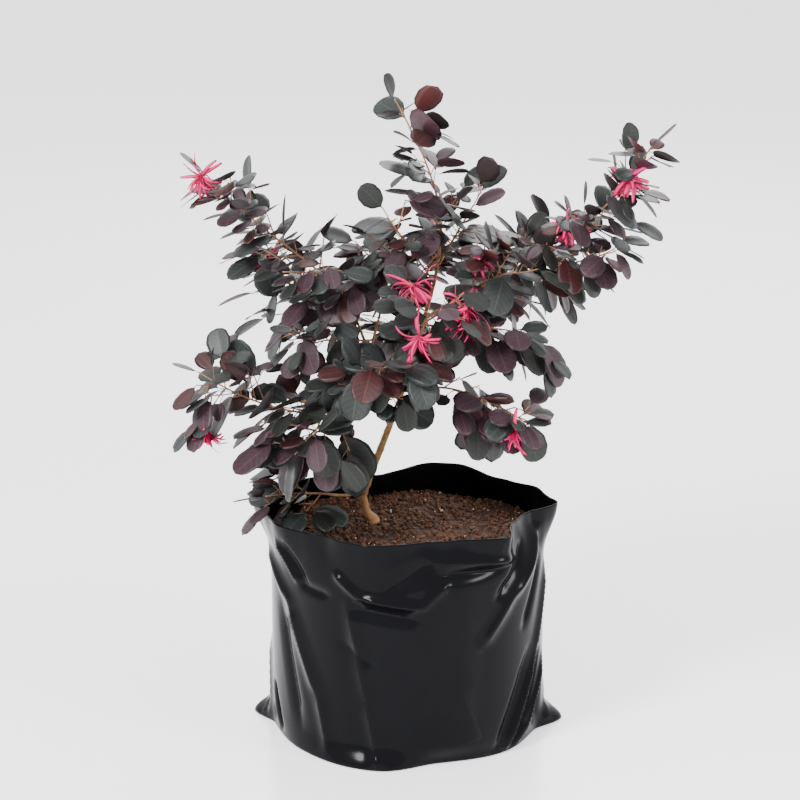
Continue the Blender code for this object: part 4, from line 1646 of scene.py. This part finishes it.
    def add_petal(self, petal: Blade, rng: random.Random) -> None:
        """Add one strap petal, which bends and curls along its length.

        Args:
            petal: its place and sizes.
            rng: the seeded source of numbers.
        """
        along, across, side, faces = self.strap
        bend = rng.uniform(0.4, 2.0)
        angle = bend * along ** 1.6
        reach = petal.length / 8.0
        ranks = np.unique(along)
        steps_x = np.concatenate(([0.0], np.cumsum(np.cos(bend * ranks[1:] ** 1.6) * reach)))
        steps_z = np.concatenate(([0.0], np.cumsum(-np.sin(bend * ranks[1:] ** 1.6) * reach)))
        rank = np.searchsorted(ranks, along)
        half = petal.width / 2.0 * (0.45 + 0.55 * np.minimum(1.0, along * 3.0)) * (1.0 - 0.5 * along ** 6)
        sway = rng.uniform(-1.0, 1.0) * np.sin(along * 3.0)
        x = steps_x[rank]
        z = steps_z[rank] + side * 0.16 * np.cos(angle)
        y = across * half + sway
        local = np.stack((x, y, z, np.ones_like(x)), axis=1)
        places = local @ np.array(blade_frame(petal)).T
        self.petals.add(places[:, :3], faces[:, ::-1])


@dataclass(frozen=True)
class Crease:
    """A ridge or groove in the film, between two places given by azimuth in degrees and height in mm."""

    start: tuple[float, float]
    end: tuple[float, float]
    height: float
    width: float


FRONT_CREASES = (
    Crease((-99, 128), (-79, 147), -3.2, 8.0),
    Crease((-79, 147), (-40, 141), 3.6, 5.5),
    Crease((-78, 137), (-42, 136), -3.4, 6.0),
    Crease((-121, 136), (-110, 122), 3.6, 4.5),
    Crease((-110, 122), (-84, 116), 4.2, 5.0),
    Crease((-112, 113), (-86, 107), -3.6, 7.0),
    Crease((-84, 116), (-74, 132), 2.6, 5.0),
    Crease((-155, 146), (-141, 122), 3.4, 4.0),
    Crease((-150, 148), (-137, 124), -2.6, 4.0),
    Crease((-141, 122), (-124, 119), -2.2, 5.0),
    Crease((-172, 132), (-148, 106), 3.4, 7.0),
    Crease((-148, 106), (-129, 42), 3.6, 8.0),
    Crease((-129, 42), (-124, 6), 3.0, 7.0),
    Crease((-155, 96), (-141, 20), -3.0, 8.0),
    Crease((-115, 119), (-106, 43), 3.2, 7.0),
    Crease((-106, 43), (-101, 0), 4.0, 7.0),
    Crease((-120, 90), (-104, 74), -1.6, 9.0),
    Crease((-10, 150), (-43, 111), 4.0, 6.0),
    Crease((-29, 144), (-50, 116), -3.4, 5.0),
    Crease((-43, 111), (-58, 84), 2.6, 7.0),
    Crease((-17, 128), (-33, 88), -3.0, 5.0),
    Crease((-8, 118), (-25, 60), 3.2, 6.0),
    Crease((-25, 60), (-45, 2), 4.4, 3.6),
    Crease((-18, 58), (-41, 2), -4.0, 3.4),
    Crease((-12, 52), (-36, 3), 3.6, 3.4),
    Crease((-30, 66), (-50, 4), -2.4, 5.0),
    Crease((-70, 60), (-56, 10), 1.2, 16.0),
    Crease((-4, 40), (-20, 10), -3.2, 6.0),
    Crease((-167, 34), (-158, 6), -5.0, 5.0),
)


@dataclass
class Bag:
    """The film bag: a fine shell on the solid's own form, with folds, creases and a fine ripple at the rim.
    """

    around: int = 330
    levels: int = 145
    film: float = 0.55
    folds: int = 34
    seed: int = 11

    def creases(self) -> list[Crease]:
        """List the creases: those that the photograph shows, and others that follow a seed behind.

        Returns:
            The creases.
        """
        rng = random.Random(self.seed)
        made = list(FRONT_CREASES)
        for _ in range(self.folds):
            azimuth = rng.uniform(4.0, 178.0)
            top = rng.choice((rng.uniform(100.0, 148.0), rng.uniform(30.0, 70.0)))
            low = max(2.0, top - rng.uniform(22.0, 70.0))
            lean = rng.uniform(-24.0, 24.0)
            height = rng.uniform(1.6, 3.8) * rng.choice((1.0, 1.0, -1.0))
            made.append(Crease((azimuth, top), (azimuth + lean, low), height, rng.uniform(3.5, 9.0)))
        return made

    def build(self, finish: bpy.types.Material) -> bpy.types.Object:
        """Build the shell from a grid that is wrapped round the bag's form.

        Args:
            finish: the black film.

        Returns:
            The piece.
        """
        bpy.ops.object.select_all(action="DESELECT")
        bpy.ops.mesh.primitive_grid_add(x_subdivisions=self.around, y_subdivisions=self.levels, size=2.0)
        piece = bpy.context.object
        piece.name = "film_bag"
        mesh = piece.data
        flat = np.zeros(len(mesh.vertices) * 3)
        mesh.vertices.foreach_get("co", flat)
        flat = flat.reshape(-1, 3)
        turn = (flat[:, 0] + 1.0) / 2.0
        rise = (flat[:, 1] + 1.0) / 2.0
        mesh.vertices.foreach_set("co", (self.wrap(turn, rise) * MM).ravel())
        bm = bmesh.new()
        bm.from_mesh(mesh)
        bmesh.ops.remove_doubles(bm, verts=bm.verts, dist=2e-6)
        bm.to_mesh(mesh)
        bm.free()
        shell = piece.modifiers.new("film", "SOLIDIFY")
        shell.thickness = self.film * MM
        shell.offset = -1.0
        bpy.ops.object.modifier_apply(modifier="film")
        mesh = piece.data
        mesh.materials.append(finish)
        mesh.shade_smooth()
        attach(piece, "root")
        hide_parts("bag")
        return piece

    def reach(self) -> np.ndarray:
        """Return the room inside the film at the soil's edge, for evenly spaced turns.

        Returns:
            The smallest inner radius over the soil's edge, in millimetres.
        """
        azimuths = np.linspace(0.0, 1.0, 361)
        room = np.full(len(azimuths), BODY_RADIUS * 2.0)
        for height in np.linspace(SOIL_TOP - SKIRT - 2.0, SOIL_TOP + 3.0, 12):
            rise = FLOOR_SHARE + (1.0 - FLOOR_SHARE) * height / RIM_HEIGHT
            places = self.wrap((azimuths + 0.5) % 1.0, np.full(len(azimuths), rise))
            room = np.minimum(room, np.hypot(places[:, 0], places[:, 1]))
        spread = np.minimum(np.minimum(room, np.roll(room, 1)), np.roll(room, -1))
        return spread - self.film - 0.5

    def wrap(self, turn: np.ndarray, rise: np.ndarray) -> np.ndarray:
        """Return the film's places: the floor first, then the wall up to the rim.

        Args:
            turn: the share of the way round.
            rise: the share of the way from the floor's middle up to the rim.

        Returns:
            The places in millimetres.
        """
        azimuth = turn * 360.0 - 180.0
        height = np.clip((rise - FLOOR_SHARE) / (1.0 - FLOOR_SHARE), 0.0, 1.0) * RIM_HEIGHT
        table_az = np.linspace(-180.0, 180.0, 721)
        foot = np.interp(azimuth, table_az, [outline_radius(BASE_OUTLINE, a) for a in table_az]) - BODY_RADIUS
        rim = np.interp(azimuth, table_az, [outline_radius(RIM_OUTLINE, a) for a in table_az]) - BODY_RADIUS
        lift = np.interp(azimuth, table_az, [rim_height(a) / RIM_HEIGHT for a in table_az])
        radius = BODY_RADIUS + foot * eased(1.0 - height / EAR_HEIGHT)
        radius += rim * eased((height - (RIM_HEIGHT - FLARE_HEIGHT)) / FLARE_HEIGHT)
        calm = eased((RIM_HEIGHT - RIM_BAND - height) / FADE_BELOW_RIM) * eased(height / FADE_ABOVE_FOOT)
        radius += self.relief(azimuth, height) * calm
        ripple = RIM_RIPPLE * np.sin(np.radians(azimuth * RIM_WAVES))
        radius += ripple * eased((height - RIPPLE_START) / (RIM_HEIGHT - RIPPLE_START))
        radius = np.minimum(radius, np.where(height < EAR_HEIGHT, EAR_LIMIT, WALL_LIMIT))
        inward = np.clip(rise / FLOOR_SHARE, 0.0, 1.0)
        radius = radius * inward
        angle = np.radians(azimuth)
        return np.stack((radius * np.cos(angle), radius * np.sin(angle), height * lift), axis=1)

    def relief(self, azimuth: np.ndarray, height: np.ndarray) -> np.ndarray:
        """Return how far each place stands out because of the creases.

        Args:
            azimuth: the places' azimuths in degrees.
            height: the places' heights in millimetres.

        Returns:
            The relief in millimetres.
        """
        arc = math.radians(1.0) * BODY_RADIUS
        total = np.zeros_like(height)
        for crease in self.creases():
            away = (azimuth - crease.start[0] + 180.0) % 360.0 - 180.0
            span = (crease.end[0] - crease.start[0]) * arc
            drop = crease.end[1] - crease.start[1]
            length = math.hypot(span, drop)
            x, z = away * arc, height - crease.start[1]
            along = (x * span + z * drop) / length ** 2
            off = np.abs(x * drop - z * span) / length
            ends = np.clip(np.minimum(along + 0.12, 1.12 - along) / 0.3, 0.0, 1.0)
            sharp = np.clip(1.0 - off / (crease.width * 1.5), 0.0, 1.0) ** 2
            total += crease.height * sharp * ends
        return np.clip(total, DEEPEST_FOLD, TALLEST_FOLD)


@dataclass
class Soil:
    """The potting soil: an uneven bed on the solid's form, loose crumbs and pale specks."""

    reach: np.ndarray
    rings: int = 60
    columns: int = 160
    crumbs: int = 4200
    crumb_sizes: tuple[float, float] = (0.7, 2.3)
    specks: int = 150
    speck_sizes: tuple[float, float] = (0.5, 1.15)
    seed: int = 23

    def build(self, finishes: dict[str, bpy.types.Material]) -> list[bpy.types.Object]:
        """Build the bed, the crumbs and the specks.

        Args:
            finishes: the materials by name.

        Returns:
            The pieces.
        """
        bed = MeshStack()
        rings, columns = self.rings, self.columns
        foot = Vector((*FOOT_PLACE, 0.0))
        places = []
        for level in range(rings + 1):
            share = level / rings
            for column in range(columns):
                edge = self.edge(column / columns)
                at = edge.lerp(foot, share)
                height = soil_height(at)
                rough = 1.3 * noise.noise(at * 0.22) + 0.7 * noise.noise(at * 0.9)
                away = (at - foot).length
                places.append((at.x, at.y, height + rough * smooth(away / 14.0) - 0.3))
        faces = wall_faces(rings, columns)
        skirt = len(places)
        for column in range(columns):
            edge = self.edge(column / columns)
            places.append((edge.x, edge.y, SOIL_TOP - SKIRT))
        faces += [(skirt + c, skirt + (c + 1) % columns, (c + 1) % columns, c) for c in range(columns)]
        middle = len(places)
        places.append((0.0, 0.0, SOIL_TOP - SKIRT))
        faces += [(skirt + (c + 1) % columns, skirt + c, middle, middle) for c in range(columns)]
        bed.add(np.array(places), np.array(faces))
        pieces = [bed.build("soil_bed", [finishes["soil"]])]
        bm = bmesh.new()
        bm.from_mesh(pieces[0].data)
        bmesh.ops.remove_doubles(bm, verts=bm.verts, dist=1e-6)
        bm.to_mesh(pieces[0].data)
        bm.free()
        rng = random.Random(self.seed)
        pieces.append(self.scatter("soil_crumbs", self.crumbs, self.crumb_sizes, rng, finishes["crumb"]))
        pieces.append(self.scatter("pale_specks", self.specks, self.speck_sizes, rng, finishes["speck"]))
        for piece in pieces:
            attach(piece, "root")
        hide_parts("soil")
        return pieces

    def edge(self, turn: float) -> Vector:
        """Return the soil's edge just inside the creased film, at a share of the way round.

        Args:
            turn: the share.

        Returns:
            The place.
        """
        angle = math.tau * turn
        radius = float(np.interp(turn, np.linspace(0.0, 1.0, len(self.reach)), self.reach))
        return Vector((radius * math.cos(angle), radius * math.sin(angle), SOIL_TOP))

    def scatter(self, name: str, count: int, sizes: tuple[float, float], rng: random.Random,
                finish: bpy.types.Material) -> bpy.types.Object:
        """Scatter rough grains over the bed, modelled once and joined.

        Args:
            name: the piece's name.
            count: the number of grains.
            sizes: the smallest and largest radius.
            rng: the seeded source of numbers.
            finish: the grains' material.

        Returns:
            The piece.
        """
        bm = bmesh.new()
        bmesh.ops.create_icosphere(bm, subdivisions=1, radius=1.0)
        grain = np.array([tuple(vert.co) for vert in bm.verts])
        faces = np.array([[vert.index for vert in face.verts] + [face.verts[2].index] for face in bm.faces])
        bm.free()
        stack = MeshStack()
        foot = Vector((*FOOT_PLACE, 0.0))
        while stack.count < count * len(grain):
            edge = self.edge(rng.random())
            at = foot.lerp(edge, math.sqrt(rng.random()) * 0.985)
            if (at - foot).length < FLARE_RADIUS + 1.5:
                continue
            size = sizes[0] + (sizes[1] - sizes[0]) * rng.random() ** 2.2
            turn = Matrix.Rotation(rng.uniform(0.0, math.tau), 3, Vector((rng.random(), rng.random(), 1.0)))
            stretch = np.array([rng.uniform(0.7, 1.5), rng.uniform(0.6, 1.1), rng.uniform(0.5, 0.9)])
            jitter = np.array([[1.0 + rng.uniform(-0.22, 0.22)] for _ in grain])
            shape = (grain * jitter * stretch * size) @ np.array(turn).T
            centre = np.array((at.x, at.y, soil_height(at) + rng.uniform(-0.2, 1.1)))
            stack.add(shape + centre, faces)
        return stack.build(name, [finish], False)


@dataclass(frozen=True)
class Softbox:
    """A square soft light: its place and side in metres, and its power in watts."""

    name: str
    place: tuple[float, float, float]
    size: float
    power: float


SOFTBOXES = (
    Softbox("key", (-1.1, -1.2, 1.5), 0.5, 60.0),
    Softbox("fill", (1.5, -0.9, 0.9), 0.4, 20.0),
    Softbox("rim", (0.3, 1.5, 1.3), 1.2, 26.0),
)


@dataclass
class Studio:
    """The pale floor, the soft light and the photograph's camera."""

    floor_size: float = 80.0

    def build(self) -> None:
        """Build the stage, the lights and the camera."""
        bpy.ops.object.select_all(action="DESELECT")
        bpy.ops.mesh.primitive_plane_add(size=self.floor_size, location=(0.0, 0.0, -0.0002))
        floor = bpy.context.object
        floor.name = "floor"
        pale = bpy.data.materials.new("pale_floor")
        pale.use_nodes = True
        shader = pale.node_tree.nodes["Principled BSDF"]
        shader.inputs["Base Color"].default_value = (0.90, 0.895, 0.91, 1.0)
        shader.inputs["Roughness"].default_value = 0.22
        shader.inputs["Emission Color"].default_value = (0.98, 0.975, 1.0, 1.0)
        shader.inputs["Emission Strength"].default_value = 0.8
        floor.data.materials.append(pale)
        world = bpy.data.worlds.new("studio")
        world.use_nodes = True
        back = world.node_tree.nodes["Background"]
        back.inputs["Color"].default_value = (0.93, 0.93, 0.955, 1.0)
        back.inputs["Strength"].default_value = 1.75
        bpy.context.scene.world = world
        for softbox in SOFTBOXES:
            self.light(softbox)
        self.camera()

    @staticmethod
    def light(softbox: Softbox) -> None:
        """Add a soft square light that faces the plant.

        Args:
            softbox: its sizes.
        """
        lamp = bpy.data.lights.new(softbox.name, "AREA")
        lamp.size = softbox.size
        lamp.energy = softbox.power
        holder = bpy.data.objects.new(softbox.name, lamp)
        holder.location = softbox.place
        aim = Vector((0.0, 0.0, 0.2)) - Vector(softbox.place)
        holder.rotation_euler = aim.to_track_quat("-Z", "Y").to_euler()
        bpy.context.scene.collection.objects.link(holder)

    @staticmethod
    def camera() -> None:
        """Set the camera at the photograph's angle."""
        lens = bpy.data.cameras.new("camera")
        lens.lens = CAMERA_LENS
        lens.sensor_width = SENSOR
        holder = bpy.data.objects.new("camera", lens)
        away = Vector((0.0, -math.cos(CAMERA_PITCH), math.sin(CAMERA_PITCH)))
        holder.location = CAMERA_TARGET + away * CAMERA_DISTANCE
        holder.rotation_euler = (-away).to_track_quat("-Z", "Y").to_euler()
        bpy.context.scene.collection.objects.link(holder)
        bpy.context.scene.camera = holder


def finishes() -> dict[str, bpy.types.Material]:
    """Build every material.

    Returns:
        The materials by name.
    """
    group = wear_group()
    made = {
        "bark": BARK.material(group),
        "twig": TWIG_BARK.material(group),
        "film": FILM_FINISH.material(group),
        "soil": SOIL_FINISH.material(group),
        "crumb": CRUMB_FINISH.material(group),
        "speck": SPECK_FINISH.material(group),
        "petal": PETAL_FINISH.material(group),
        "bud": BUD_FINISH.material(group),
    }
    for tone, look in LEAF_LOOKS.items():
        made["face_" + tone.value] = VeinedFinish("leaf_face_" + tone.value, look).material(group)
        dark = tuple(SHADE * part for part in look.under)
        under = Finish("leaf_under_" + tone.value, look.under, dark, 260.0, 0.6, 0.6)
        made["under_" + tone.value] = under.material(group)
    return made


def main() -> None:
    """Build the studio, the bag, the soil, the limbs and the foliage, in that order."""
    logging.basicConfig(level=logging.INFO, format="%(message)s")
    Studio().build()
    looks = finishes()
    crowd = Crowd()
    laid = lay_limbs()
    masses = grow(laid, crowd)
    bag = Bag()
    pieces = [bag.build(looks["film"])]
    pieces += Soil(bag.reach()).build(looks)
    pieces += Limbs(laid).build(looks["bark"])
    pieces += Foliage(crowd, masses).build(looks)
    for piece in pieces:
        piece.data.calc_loop_triangles()
        LOG.info("%s: %d triangles", piece.name, len(piece.data.loop_triangles))


if __name__ == "__main__":
    main()
